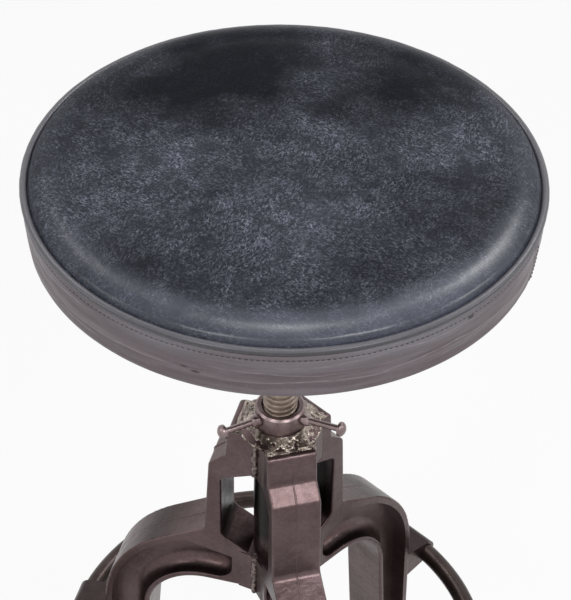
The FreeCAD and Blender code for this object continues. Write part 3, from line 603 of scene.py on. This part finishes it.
CUSHION_FLOOR, CUSHION_SIDE = 669.1, 169.6
flat_radii = [7 * step for step in range(20)]
rim_radii = [140 + 1.4 * step for step in range(21)]
crown_radii = flat_radii + rim_radii + [169.2, 170.2, 171.1, 171.9]
crown_line = [(radius, crown_height(radius)) for radius in crown_radii]
cushion_line = crown_line + [
    (SEAM_RADIUS, crown_height(SEAM_RADIUS)), (SEAM_RADIUS, SEAT_EDGE - 2.6), (CUSHION_SIDE, SEAT_EDGE - 3.2),
    (CUSHION_SIDE, CUSHION_FLOOR), (120, CUSHION_FLOOR), (60, CUSHION_FLOOR), (0, CUSHION_FLOOR),
]
cushion = turned_piece("seat_cushion", cushion_line, 300, closed=False)
print("cushion drawn with", len(cushion.data.vertices), "points")


# %% Blow up the cushion
CLOTH_FRAMES, PUFF_LIMIT, VOXEL = 20, 1.5 * MM, 4.5 * MM
HIDE_FLOOR, HELD_RADIUS, SWELL_RADIUS = 688 * MM, 168 * MM, 160 * MM


def apply_modifiers(piece):
    pick(piece)
    for modifier in list(piece.modifiers):
        bpy.ops.object.modifier_apply(modifier=modifier.name)


def plump(piece):
    """Remeshes a pad to even squares and lets Cloth's pressure swell what isn't held by the seam."""
    even = piece.modifiers.new("even_squares", "REMESH")
    even.mode = "VOXEL"
    even.voxel_size = VOXEL
    apply_modifiers(piece)
    held = piece.vertex_groups.new(name="held")
    before = [vertex.co.copy() for vertex in piece.data.vertices]
    for vertex in piece.data.vertices:
        if vertex.co.z < HIDE_FLOOR or around(vertex)[0] > HELD_RADIUS:
            held.add([vertex.index], 1, "REPLACE")
    cloth = piece.modifiers.new("swell", "CLOTH")
    cloth.settings.vertex_group_mass = "held"
    cloth.settings.use_pressure = True
    cloth.settings.uniform_pressure_force = 4
    cloth.settings.effector_weights.gravity = 0
    cloth.settings.quality = 6
    cloth.point_cache.frame_start, cloth.point_cache.frame_end = 1, CLOTH_FRAMES
    for step in range(1, CLOTH_FRAMES + 1):
        bpy.context.scene.frame_set(step)
    apply_modifiers(piece)
    bpy.context.scene.frame_set(1)
    for vertex, start in zip(piece.data.vertices, before):
        move = vertex.co - start
        if move.length > PUFF_LIMIT:
            vertex.co = start + move.normalized() * PUFF_LIMIT
    moves = [(vertex.co - start).length for vertex, start in zip(piece.data.vertices, before)]
    print("largest swell in mm:", round(max(moves) / MM, 2))
    rounder = piece.modifiers.new("finer", "SUBSURF")
    rounder.levels = rounder.render_levels = 1
    apply_modifiers(piece)


def swollen_heights(piece):
    """Blows up a copy of the pad, and gives the pad's own finer rings the height of the swollen hide."""
    pad = piece.copy()
    pad.data = piece.data.copy()
    bpy.context.scene.collection.objects.link(pad)
    plump(pad)
    bpy.context.view_layer.update()
    for vertex in piece.data.vertices:
        if vertex.co.z > HIDE_FLOOR and around(vertex)[0] < SWELL_RADIUS:
            hit, place, _, _ = pad.ray_cast(Vector((vertex.co.x, vertex.co.y, 0.8)), Vector((0, 0, -1)))
            if hit:
                vertex.co.z = place.z
    bpy.data.objects.remove(pad)


swollen_heights(cushion)

# %% Draw the cushion back to its seam and crease the hide
def ridged(place, scale, seed):
    """Noise with sharp valleys, from 0 to 1, for creases."""
    return abs(noise.noise(Vector(place) * scale + Vector((seed, seed * 0.7, -seed))))


def crease_crown(piece):
    """The middle keeps its swell, the rim keeps the drawn line, and folds run in from the seam."""
    for vertex in piece.data.vertices:
        radius, turn = around(vertex)
        if vertex.co.z < 680 * MM:
            continue
        drawn = crown_height(radius / MM) * MM
        keep = 1 - min(1, max(0, (radius / MM - 138) / 26))
        height = drawn + (vertex.co.z - drawn) * keep ** 2
        rim = math.exp(-(SEAM_RADIUS - radius / MM) / 9)
        around_seam = toward(turn)
        pucker = noise.noise(around_seam * 26) * 0.35 * rim + noise.noise(around_seam * 9) * 0.3 * rim
        waves = noise.noise(vertex.co * 14 + Vector((3, 1, 5))) * 0.35 + noise.noise(vertex.co * 38) * 0.12
        fold = max(0, 0.05 - ridged(vertex.co, 16, 2.3)) / 0.05
        vertex.co.z = height + (pucker + waves * (1 - rim) - fold * 0.16) * MM
        if radius > SEAM_RADIUS * MM:
            vertex.co.x *= SEAM_RADIUS * MM / radius
            vertex.co.y *= SEAM_RADIUS * MM / radius
    piece.data.update()


crease_crown(cushion)
tidy_mesh(cushion)
smooth(cushion, 60)

# %% Wear the hide, and paint shade and sheen on it
# Each patch by its place across and away as the camera sees it, its size (all in mm) and its strength.
# The dark patches, heaviest towards the back, are partly darker dye and partly painted shade.
DARK_DYE_AND_SHADE_PATCHES = ((-20, 138, 58, 1.0), (-46, 84, 46, 1.75), (86, 84, 36, 1.1), (118, 128, 40, 1.1),
                (30, 52, 16, 0.7), (-112, 66, 30, 0.5), (-48, -44, 22, 0.45), (128, -48, 34, 0.5),
                (44, -104, 34, 0.45), (-98, -108, 34, 0.5))
PALE_PATCHES = ((110, 20, 28, 0.8), (32, 104, 22, 0.45), (-36, 63, 15, 0.8), (-72, -6, 30, 0.75),
                (12, -74, 40, 0.9), (28, 24, 20, 0.6), (-112, -56, 26, 0.5), (0, 0, 110, 0.35))
GLEAM_RADIUS, GLEAM_TURN = 152, 0.26


def crown_wear_shade_and_sheen(piece):
    """Keeps on the mesh where the dye is rubbed through, with painted shade towards the back, and a
    painted-sheen mask along the front and right of the rim.
    """
    worn = piece.data.attributes.new("worn", "FLOAT", "POINT")
    stretched = piece.data.attributes.new("stretched", "FLOAT", "POINT")
    wear_and_shade_values, sheen_mask_values = [], []
    for vertex in piece.data.vertices:
        across = (vertex.co.x * math.cos(CAMERA_TURN) + vertex.co.y * math.sin(CAMERA_TURN)) / MM
        away = (-vertex.co.x * math.sin(CAMERA_TURN) + vertex.co.y * math.cos(CAMERA_TURN)) / MM
        wobble = 9 * noise.noise(Vector((across, away, 0)) * 0.03)
        value = 0.0
        for patches, sign in ((DARK_DYE_AND_SHADE_PATCHES, -1), (PALE_PATCHES, 1)):
            for place_x, place_y, size, depth in patches:
                distance = math.hypot(across - place_x + wobble, away - place_y - wobble)
                value += sign * depth * math.exp(-(distance / size) ** 2)
        wear_and_shade_values.append(value)
        radius = math.hypot(across, away)
        # Painted sheen: the rim mask is strongest at the front and right, as the camera sees the seat.
        rim = 1 / (1 + math.exp(-(radius - GLEAM_RADIUS + wobble * 0.4) / 2.5))
        toward_front_right = across * math.sin(GLEAM_TURN) - away * math.cos(GLEAM_TURN)
        front = 0.5 + 0.5 * toward_front_right / max(radius, 1)
        sheen_mask_values.append(rim * min(1, 0.04 + front ** 3))
    worn.data.foreach_set("value", wear_and_shade_values)
    stretched.data.foreach_set("value", sheen_mask_values)
    print("worn from", round(min(wear_and_shade_values), 2), "to", round(max(wear_and_shade_values), 2))


crown_wear_shade_and_sheen(cushion)
finish_piece(cushion, leather_top, "seat", ["leather_top", "seat_foam"])

# %% [markdown]
# ## The side band
# A strip of hide goes round the seat under the piping. Its upper edge is sewn with a line of stitches, its
# lower edge is turned under the board, and its two ends meet in a sewn overlap at the right. Tension leaves
# long wavy creases round it. The strip is spun finely enough to hold these in the mesh itself.

# %% Shape the side band
BAND_TOP, BAND_FOOT, HEM_CORNER, BAND_SKIN, HEM_EDGE = 687.2, 649.0, 4.5, 1.6, 152.2
STITCH_HEIGHT, LAP_TURN = 682.6, 54.0


def band_line(rows):
    """The outer line of the band from the piping down to the hem, as (radius, height)."""
    points = [(172.6, BAND_TOP), (174.6, BAND_TOP - 0.6), (175.9, BAND_TOP - 1.8)]
    for step in range(rows + 1):
        share = step / rows
        height = BAND_TOP - 3 - share * (BAND_TOP - 3 - BAND_FOOT - HEM_CORNER)
        belly = math.sin(math.pi * min(1, share * 1.05)) * 0.55
        points.append((176.35 - share * 2.1 + belly, height))
    corner = arc((174.25 - HEM_CORNER, BAND_FOOT + HEM_CORNER), HEM_CORNER, 0, -90, 6)
    return points + corner[1:] + [(166, BAND_FOOT), (160, BAND_FOOT), (HEM_EDGE, BAND_FOOT)]


outer_line = band_line(54)
inner_line = [(HEM_EDGE, BAND_FOOT + BAND_SKIN), (168.6, BAND_FOOT + BAND_SKIN), (171.6, BAND_FOOT + 4.5),
              (172.0, BAND_FOOT + 12), (172.4, BAND_TOP - 12), (171.4, BAND_TOP - 2)]
band = turned_piece("side_band", outer_line + inner_line, 720)


def wavy(turn, seed, size, middle):
    """A height that wanders round the seat, for a crease."""
    spot = toward(turn, seed)
    return middle + size * noise.noise(spot * 2.4) + size * 0.3 * noise.noise(spot * 9)


def near(value, centre, width):
    return math.exp(-((value - centre) / width) ** 2)


# Creases by seed, wander, height and depth. Nicks by turn, height, size and depth.
CREASES = ((4.0, 6.5, 671.0, 0.4), (9.0, 6.0, 664.0, 0.3), (15.0, 4.5, 676.5, 0.2), (21.0, 6.0, 658.5, 0.2))
NICKS = ((-36, 667, 2.2, 1.0), (-33.5, 664.5, 2.6, 0.9), (27, 681, 2.4, 1.2), (118, 670, 2.2, 0.8))


def crease_band(piece):
    """Stitch groove, creases, nicks and the sewn overlap; the wear along them is kept for the finish."""
    rubbed = piece.data.attributes.new("rubbed", "FLOAT", "POINT")
    wear = []
    for vertex in piece.data.vertices:
        radius, turn = around(vertex)
        height = vertex.co.z / MM
        outside = radius / MM > 172.9 and height > BAND_FOOT + 0.6
        shown = 0.0
        if outside:
            spot = toward(turn, height * 0.022)
            push = noise.noise(spot * 5) * 0.45 + noise.noise(spot * 17) * 0.16
            push -= near(height, STITCH_HEIGHT + 0.25 * noise.noise(spot * 14), 0.75) * 0.8
            for seed, size, middle, depth in CREASES:
                crease = wavy(turn, seed, size, middle)
                fade = min(1.0, max(0.0, 0.25 + 2.2 * noise.noise(spot * 1.7 + Vector((seed, seed, 0)))))
                push -= near(height, crease, 0.9) * depth * fade
                push += near(height, crease + 1.8, 1.4) * depth * 0.6 * fade
                shown += near(height, crease + 0.7, 0.5) * fade * (0.7 + noise.noise(spot * 30))
            for nick_turn, nick_height, size, depth in NICKS:
                spread = math.radians(turn - nick_turn) * radius / MM
                nicked = near(spread, 0, size) * near(height, nick_height, size * 0.4)
                push -= nicked * depth * 0.6
                shown -= nicked * 1.2
            lap = math.radians(turn - LAP_TURN) * radius / MM
            push += 0.45 * (1 + math.tanh(lap * 1.1)) * math.exp(-max(0, lap) / 9)
            push -= near(lap, -0.4, 0.8) * 0.5
            fade_down = min(1, (height - BAND_FOOT) / 6)
            vertex.co.x *= 1 + push * fade_down * MM / radius
            vertex.co.y *= 1 + push * fade_down * MM / radius
        elif height < BAND_FOOT + 0.6:
            pleat = noise.noise(toward(turn) * 22)
            vertex.co.z += max(0, pleat) * 0.5 * MM
        wear.append(shown)
    rubbed.data.foreach_set("value", wear)
    piece.data.update()


crease_band(band)
smooth(band, 60)
print("band radius in mm:", round(max(around(vertex)[0] for vertex in band.data.vertices) / MM, 2))


# %% Finish the side band
def side_leather():
    """The side hide: soft streaks round the seat, a painted bluish-grey sheen along the top, and pale where
    creases are rubbed.
    """
    finish, colour, rough, creased = leather("waxed_band_leather", (0.11, 0.082, 0.09), (0.34, 0.295, 0.325),
                                             16, 0.36, scratches=0.4)
    streaks = finish.ramp(finish.noise(1, detail=6, roughness=0.62, place=finish.stretched((11, 11, 130))),
                          [(0.42, 0.0), (0.66, 1.0)])
    streaked = finish.blend(finish.times(streaks, 0.4), colour, (0.30, 0.265, 0.29))
    # Painted sheen: the upper part of the band is mixed towards a bluish grey.
    upper = finish.gate(finish.parts(finish.place)["Z"], 0.668, 0.684)
    painted_sheen_share = finish.times(finish.times(upper, 0.6),
                            finish.ramp(finish.noise(7, detail=3), [(0.35, 0.2), (0.65, 1.0)]))
    painted_sheen_greyed = finish.blend(painted_sheen_share, streaked, (0.25, 0.255, 0.29))
    worn = finish.attribute("rubbed")
    pale = finish.ramp(finish.times(worn, 0.55), [(0.0, 0.0), (0.8, 0.8)])
    edged = finish.blend(pale, painted_sheen_greyed, (0.5, 0.45, 0.48))
    nick = finish.ramp(finish.times(worn, -1.0), [(0.1, 0.0), (0.7, 0.85)])
    marked = finish.blend(nick, edged, (0.025, 0.018, 0.018))
    return finish.wear(Base_Color=marked, Roughness=rough, Normal=creased, Specular_IOR_Level=0.35)


finish_piece(band, side_leather(), "seat", ["leather_band"])

# %% [markdown]
# ## Piping and stitches
# The piping is a strip of the same hide folded over a cord and caught between top and band. Hand sewing
# leaves it a little uneven. The stitches below it are short sunk threads, one shape copied round the seat.

# %% Shape the piping
deselect_all()
bpy.ops.mesh.primitive_torus_add(major_radius=(SEAT_RADIUS - PIPING_RADIUS) * MM,
                                 minor_radius=PIPING_RADIUS * MM, major_segments=720, minor_segments=18,
                                 location=(0, 0, SEAT_EDGE * MM))
piping = named("edge_piping")
bpy.ops.object.transform_apply(location=True, rotation=True, scale=True)
for vertex in piping.data.vertices:
    angle = math.atan2(vertex.co.y, vertex.co.x)
    ring = Vector((math.cos(angle), math.sin(angle), 0))
    middle = ring * (SEAT_RADIUS - PIPING_RADIUS) * MM + Vector((0, 0, SEAT_EDGE * MM))
    out = vertex.co - middle
    swell = 1 + 0.07 * noise.noise(ring * 21) + 0.05 * noise.noise(ring * 60 + out * 400)
    flat = 0.93 if out.z < 0 else 1.0
    vertex.co = middle + out * min(swell, 1.02) * flat + Vector((0, 0, 0.16 * MM * noise.noise(ring * 6)))
smooth(piping, 80)


def piping_leather():
    """The cord's cover: dark hide, with a paler band along its upper side that is partly rubbed wear and
    partly a painted highlight.
    """
    finish, colour, rough, creased = leather("waxed_piping_leather", (0.014, 0.013, 0.016),
                                             (0.15, 0.145, 0.165), 30, 0.32)
    height = finish.parts(finish.place)["Z"]
    # Painted highlight, partly rubbed wear: the upper side of the cord is paler.
    rubbed_and_lit_top = finish.gate(height, (SEAT_EDGE - 1.4) * MM, (SEAT_EDGE + 1.6) * MM, kind="LINEAR")
    rubbed = finish.blend(finish.times(rubbed_and_lit_top, 0.45), colour, (0.155, 0.15, 0.172))
    return finish.wear(Base_Color=rubbed, Roughness=rough, Normal=creased, Specular_IOR_Level=0.2,
                       Coat_Weight=0.5, Coat_Roughness=0.3)


finish_piece(piping, piping_leather(), "seat", ["top_piping"])

# %% Sew the stitches
thread_finish = Finish("dark_thread")
twist = thread_finish.noise(1, detail=2, place=thread_finish.stretched((900, 900, 2600)))
sewing_thread = thread_finish.wear(
    Base_Color=thread_finish.blend(twist, (0.012, 0.010, 0.010), (0.06, 0.05, 0.048)), Roughness=0.6,
    Normal=thread_finish.bump(twist, 0.5, 0.0003))


def one_stitch(length, thickness):
    """A short thread lying along X: a rod whose ends dip."""
    deselect_all()
    bpy.ops.mesh.primitive_cylinder_add(vertices=6, radius=thickness, depth=length,
                                        rotation=(0, math.pi / 2, 0))
    stitch = bpy.context.object
    bpy.ops.object.transform_apply(location=True, rotation=True, scale=True)
    edit(stitch, "EDGE")
    mesh = bmesh.from_edit_mesh(stitch.data)
    for edge in mesh.edges:
        edge.select_set(abs(edge.verts[0].co.x - edge.verts[1].co.x) > length / 2)
    bmesh.update_edit_mesh(stitch.data)
    bpy.ops.mesh.subdivide(number_cuts=2)
    leave_edit()
    for vertex in stitch.data.vertices:
        along = vertex.co.x / (length / 2)
        vertex.co.y *= 1 - 0.45 * along ** 4
        vertex.co.z *= 1 - 0.45 * along ** 4
        vertex.co.y += thickness * 1.1 * along ** 2
    return stitch


def sew(name, places, length, thickness):
    """Copies one stitch to every place, each (point, direction along, direction out), as one piece."""
    stitch = one_stitch(length, thickness)
    pattern = [vertex.co.copy() for vertex in stitch.data.vertices]
    faces = [tuple(face.vertices) for face in stitch.data.polygons]
    points, sides = [], []
    for point, along, out in places:
        up = along.cross(-out)
        first = len(points)
        points += [point + along * spot.x - out * spot.y + up * spot.z for spot in pattern]
        sides += [tuple(first + corner for corner in face) for face in faces]
    bpy.data.objects.remove(stitch)
    mesh = bpy.data.meshes.new(name)
    mesh.from_pydata(points, [], sides)
    row = bpy.data.objects.new(name, mesh)
    bpy.context.scene.collection.objects.link(row)
    tidy_mesh(row)
    smooth(row, 60)
    return row


def on_band(turn, height, proud):
    """A point so far proud of the band at a turn and height, with the directions along and out there."""
    along = toward(turn)
    out = Vector((along.y, -along.x, 0))
    hit, place, _, _ = band.ray_cast(out * 0.3 + Vector((0, 0, height * MM)), -out)
    radius = place.xy.length / MM if hit else 176.0
    return out * (radius + proud) * MM + Vector((0, 0, height * MM)), along, out


STITCH_COUNT, THREAD_RADIUS = 300, 0.42
seam_places = []
for step in range(STITCH_COUNT):
    turn = 360 / STITCH_COUNT * step
    along = toward(turn)
    wander = 0.25 * noise.noise(Vector((along.y, -along.x, 0)) * 14)
    seam_places.append(on_band(turn, STITCH_HEIGHT + wander, 0.15))
edge_stitches = sew("edge_stitches", seam_places, 2.7 * MM, THREAD_RADIUS * MM)
finish_piece(edge_stitches, sewing_thread, "seat")

lap_places = []
for step in range(9):
    place, _, out = on_band(LAP_TURN + 1.3, 680 - step * 3.3, 0.2)
    lap_places.append((place, Vector((0, 0, 1)), out))
lap_stitches = sew("lap_stitches", lap_places, 2.6 * MM, THREAD_RADIUS * MM)
finish_piece(lap_stitches, sewing_thread, "seat")

# %% [markdown]
# ## The screw
# The column is a one-inch screw with a trapezoidal thread of about five turns to the inch. One turn of the
# thread's side view is drawn, and the Screw modifier winds it up the axis. Both ends are then cut level.

# %% Cut the screw's thread
SCREW_RADIUS, THREAD_PITCH, THREAD_DEPTH = 12.7, 5.08, 1.7
SCREW_FOOT, SCREW_HEAD, STEPS_PER_TURN = 234.0, 650.8, 40


def threaded_rod(name, radius, depth, pitch, foot, head):
    """A rod with a trapezoidal thread between two heights, closed at both ends."""
    root = radius - depth
    turn_line = [(root, 0.0), (root, 0.36), (radius - 0.15, 0.48), (radius, 0.54), (radius, 0.82),
                 (radius - 0.15, 0.88), (root, 1.0)]
    rod = side_ring(name, [(distance, foot - pitch + share * pitch) for distance, share in turn_line])
    edit(rod, "EDGE")
    open_ring(rod)
    leave_edit()
    winding = rod.modifiers.new("winding", "SCREW")
    winding.axis = "Z"
    winding.screw_offset = pitch * MM
    winding.iterations = math.ceil((head - foot) / pitch) + 2
    winding.steps = winding.render_steps = STEPS_PER_TURN
    winding.use_merge_vertices = True
    winding.merge_threshold = 0.00001
    apply_modifiers(rod)
    tidy_mesh(rod)
    for height, keep_below in ((foot, False), (head, True)):
        edit(rod)
        bpy.ops.mesh.select_all(action="SELECT")
        bpy.ops.mesh.bisect(plane_co=(0, 0, height * MM), plane_no=(0, 0, 1), use_fill=True,
                            clear_outer=keep_below, clear_inner=not keep_below)
        leave_edit()
    tidy_mesh(rod)
    return rod


screw = threaded_rod("column_screw", SCREW_RADIUS, THREAD_DEPTH, THREAD_PITCH, SCREW_FOOT, SCREW_HEAD)
smooth(screw, 50)
finish_piece(screw, screw_steel, "seat", ["lead_screw"])

# %% [markdown]
# ## Welds
# The castings are welded to the tube from above and to each other down their corners, by hand and without
# grinding. Run metal lies in a crumpled ring round the tube and in a pad on top of each boss, thick at the
# tube and thin towards the edge. A pad starts as a grid, is extruded to a slab, and its upper points are
# lifted by noise. A corner weld is a row of overlapping drops: a tube along its line whose thickness rises
# and falls with each drop, roughened by noise.

# %% Lay the weld beads
DROP_LENGTH, WELD_SEED = 2.6, 7
noise.seed_set(WELD_SEED)  # noise_vector differs from run to run without it


def bead(name, line, thickness, seed):
    """A weld along a line of points in millimetres, as a lumpy tube."""
    curve = bpy.data.curves.new(name, "CURVE")
    curve.dimensions = "3D"
    curve.bevel_depth = thickness * MM
    curve.bevel_resolution = 3
    curve.use_fill_caps = True
    path = curve.splines.new("POLY")
    path.points.add(len(line) - 1)
    run = 0.0
    for index, (point, spot) in enumerate(zip(path.points, line)):
        run += (Vector(spot) - Vector(line[index - 1])).length if index else 0
        point.co = (*(Vector(spot) * MM), 1)
        ripple = abs(math.sin(math.pi * run / DROP_LENGTH))
        point.radius = 0.78 + 0.2 * ripple + 0.3 * noise.noise(Vector((run * 0.11, seed, 0)))
    holder = bpy.data.objects.new(name, curve)
    bpy.context.scene.collection.objects.link(holder)
    pick(holder)
    bpy.ops.object.convert(target="MESH")
    made = bpy.context.object
    for vertex in made.data.vertices:
        rough = noise.noise_vector(vertex.co * 220 + Vector((seed, 0, 0))) * thickness * 0.42
        rough += noise.noise_vector(vertex.co * 800 + Vector((0, seed, 0))) * thickness * 0.14
        vertex.co += rough * MM
    tidy_mesh(made)
    smooth(made, 70)
    return made


HUB_TOP, TUBE_RADIUS, PAD_START, PAD_REACH, PAD_HALF = 456.0, 19.0, 17.4, 31.4, 18.6
CORNER_REACH, CORNER_WELD = 25.6, 2.9


def crumpled(across, outward, seed):
    """Heights of run metal, in millimetres: slow lumps, sharper ridges and fine crumbs."""
    spot = Vector((across, outward, seed))
    ridges = 1 - 2.2 * abs(noise.noise(spot * 0.23 + Vector((7, 0, 0))))
    lumps = 1.0 + 0.8 * noise.noise(spot * 0.15) + 0.7 * ridges
    return lumps + 0.6 * noise.noise(spot * 0.6) + 0.25 * noise.noise(spot * 1.7)


def weld_ring(name):
    """Run metal all round the tube, as a crumpled collar that covers the corner to the castings."""
    crest = [(18.6 + 0.6 * step, HUB_TOP + 4.4 - 0.27 * max(0, step - 2)) for step in range(21)]
    underside = [(30.9, HUB_TOP - 0.3), (24, HUB_TOP - 1.4), (18.6, HUB_TOP - 1.4)]
    ring = turned_piece(name, crest + underside, 300)
    for vertex in ring.data.vertices:
        reach, height = math.hypot(vertex.co.x, vertex.co.y) / MM, vertex.co.z / MM
        lump = crumpled(vertex.co.x / MM, vertex.co.y / MM, 2.7)
        if reach > 29.8:
            vertex.co.xy *= 1 + 0.018 * lump
        if height > HUB_TOP - 0.5:
            room = HUB_TOP + 4.6 - height if reach < 19.4 else 6
            vertex.co.z += min(room, 0.8 * (lump - 0.6)) * MM
        elif height > HUB_TOP - 2:
            vertex.co.z -= max(0, lump) * 0.7 * MM
    tidy_mesh(ring)
    smooth(ring, 50)
    return ring


def weld_pad(name, turn, seed):
    """Run metal on top of one boss, from the tube nearly to the boss's front edge."""
    deselect_all()
    bpy.ops.mesh.primitive_grid_add(x_subdivisions=52, y_subdivisions=72, size=2)
    pad = named(name)
    edit(pad, "FACE")
    bpy.ops.mesh.select_all(action="SELECT")
    bpy.ops.mesh.extrude_region_move(TRANSFORM_OT_translate={"value": (0, 0, 1)})
    leave_edit()
    out = toward(turn)
    side = Vector((-out.y, out.x, 0))
    for vertex in pad.data.vertices:
        on_top = vertex.co.z > 0.5
        ragged = 0.9 * noise.noise(Vector((vertex.co.x * 6, vertex.co.y * 6, seed)))
        outward = PAD_START + (vertex.co.x + 1) / 2 * (PAD_REACH - PAD_START) + ragged * max(0, vertex.co.x)
        across = vertex.co.y * (PAD_HALF + 0.5 * ragged)
        reach = math.hypot(outward, across)
        slope = HUB_TOP + 0.1 + max(0, min(3.4, (30 - reach) / 11 * 3.4))
        edge = min(1, (1 - abs(vertex.co.y)) * 4, (1 - vertex.co.x) * 3)
        lifted = slope + crumpled(across, outward, seed) * (0.4 + 0.6 * edge) - (1 - edge) * 0.7
        ceiling = HUB_TOP + (4.3 if reach < TUBE_RADIUS + 0.3 else 6.4)
        height = min(lifted, ceiling) if on_top else HUB_TOP - 1.6
        vertex.co = (out * outward + side * across + Vector((0, 0, height))) * MM
    tidy_mesh(pad)
    smooth(pad, 50)
    return pad


LEG_TURNS = {"front": -90.0, "right": 30.0, "left": 150.0}
beads = [weld_ring("weld_pad_round")]
beads += [weld_pad(f"weld_pad_{side}", turn, 11.3 + 5 * index)
          for index, (side, turn) in enumerate(LEG_TURNS.items())]


def corner_line(turn, low, high, seed):
    """An upright line down the corner between two castings."""
    angle = math.radians(turn)
    steps = max(2, int((high - low) / 0.8))
    line = []
    for step in range(steps + 1):
        height = low + (high - low) * step / steps
        reach = CORNER_REACH + 0.8 * noise.noise(Vector((height * 0.09, seed, 0)))
        sway = 0.7 * noise.noise(Vector((height * 0.12, 0, seed)))
        line.append((reach * math.cos(angle) - sway * math.sin(angle),
                     reach * math.sin(angle) + sway * math.cos(angle), height))
    return line


CORNER_TURNS = {"front_right": -30.0, "rear": 90.0, "front_left": 210.0}
CORNER_WELDS = (("upper", 419, 457.5, 3.3, 1.5), ("lower", 289.5, 330, 8.1, 6.5))
for index, (side, turn) in enumerate(CORNER_TURNS.items()):
    for part, low, high, line_seed, bead_seed in CORNER_WELDS:
        line = corner_line(turn, low, high, index + line_seed)
        beads.append(bead(f"weld_{part}_{side}", line, CORNER_WELD, index + bead_seed))
for weld in beads:
    finish_piece(weld, weld_metal if "pad" in weld.name else weld_seam, "base")

# %% Weld the handles to the collar
HANDLE_TURNS = {"a": -42.2, "b": 77.8, "c": 197.8}
HANDLE_ROOT, HANDLE_REACH, HANDLE_WELD = 469.8, 20.0, 4.6
for index, (letter, turn) in enumerate(HANDLE_TURNS.items()):
    angle = math.radians(turn)
    spot = (HANDLE_REACH * math.cos(angle), HANDLE_REACH * math.sin(angle), HANDLE_ROOT)
    deselect_all()
    bpy.ops.mesh.primitive_ico_sphere_add(subdivisions=4, radius=HANDLE_WELD * MM,
                                          location=[value * MM for value in spot])
    blob = named(f"handle_weld_{letter}")
    bpy.ops.object.transform_apply(location=True, rotation=True, scale=True)
    heart = Vector(spot) * MM
    outwards = toward(turn)
    for vertex in blob.data.vertices:
        out = vertex.co - heart
        out *= 1 + 0.22 * noise.noise(out * 190 + Vector((index * 3, 0, 0))) + 0.05 * noise.noise(out * 700)
        vertex.co = heart + out + outwards * out.dot(outwards) * 0.3
    smooth(blob, 80)
    finish_piece(blob, lock_steel, "lock")

# %% [markdown]
# ## Parting lines
# A sand mould opens in two halves, and the iron leaves a thin wavy ridge where they met, down the middle of
# each leg. Cutting a copy of the casting at that plane gives the ridge's line exactly on the surface.

# %% Find and raise the parting lines
RING_HEIGHT, LUG_REACH = 203.6, 148
RIDGE_FOOT, RIDGE_TOP, RIDGE_RADIUS = 18, 452, 0.75


def parting_ridge(name, casting, turn):
    """A thin ridge along the outer face of one casting, at its middle plane."""
    copy = casting.copy()
    copy.data = casting.data.copy()
    copy.name = name
    copy.parent = None
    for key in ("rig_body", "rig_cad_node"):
        if key in copy:
            del copy[key]
    bpy.context.scene.collection.objects.link(copy)
    tidy_mesh(copy)
    outwards = toward(turn)
    across = Vector((-outwards.y, outwards.x, 0))
    edit(copy)
    bpy.ops.mesh.select_all(action="SELECT")
    bpy.ops.mesh.bisect(plane_co=(0, 0, 0), plane_no=across, clear_inner=True, clear_outer=False)
    mesh = bmesh.from_edit_mesh(copy.data)
    for vertex in mesh.verts:
        height, reach = vertex.co.z / MM, vertex.co.dot(outwards) / MM
        on_plane = abs(vertex.co.dot(across)) < 0.00001
        inner_side = reach < 30 or (height < 290 and reach < 118 - max(0, 200 - height) * 0.02)
        in_window = height > 330 and reach < 42 and height < 410
        in_lug = abs(height - RING_HEIGHT) < 16 and reach > LUG_REACH
        past_ends = height < RIDGE_FOOT or height > RIDGE_TOP
        vertex.select_set(not on_plane or inner_side or in_window or in_lug or past_ends)
    mesh.select_flush_mode()
    bmesh.update_edit_mesh(copy.data)
    bpy.ops.mesh.delete(type="VERT")
    leave_edit()
    pick(copy)
    bpy.ops.object.convert(target="CURVE")
    ridge = bpy.context.object
    ridge.data.bevel_depth = RIDGE_RADIUS * MM
    ridge.data.bevel_resolution = 2
    ridge.data.use_fill_caps = True
    bpy.ops.object.convert(target="MESH")
    ridge = named(name)
    for vertex in ridge.data.vertices:
        height, reach = vertex.co.z / MM, vertex.co.dot(outwards) / MM
        bends = near(height, 421, 13) + near(height, 340, 14) * near(reach, 60, 16)
        bends += near(height, RIDGE_TOP, 3)
        sway = (0.3 + 0.9 * bends) * noise.noise(vertex.co * 60) + 0.12 * noise.noise(vertex.co * 300)
        vertex.co += across * sway * MM
        shown = min(1, bends + 0.05 + 0.4 * noise.noise(vertex.co * 30))
        vertex.co -= (outwards * 0.7 + Vector((0, 0, 0.5))) * (1 - shown) * RIDGE_RADIUS * MM
    tidy_mesh(ridge)
    smooth(ridge, 80)
    return ridge


for side, turn in LEG_TURNS.items():
    ridge = parting_ridge(f"parting_line_{side}", frame["nodes"][f"leg_casting_{side}"], turn)
    finish_piece(ridge, cast_iron, "base")
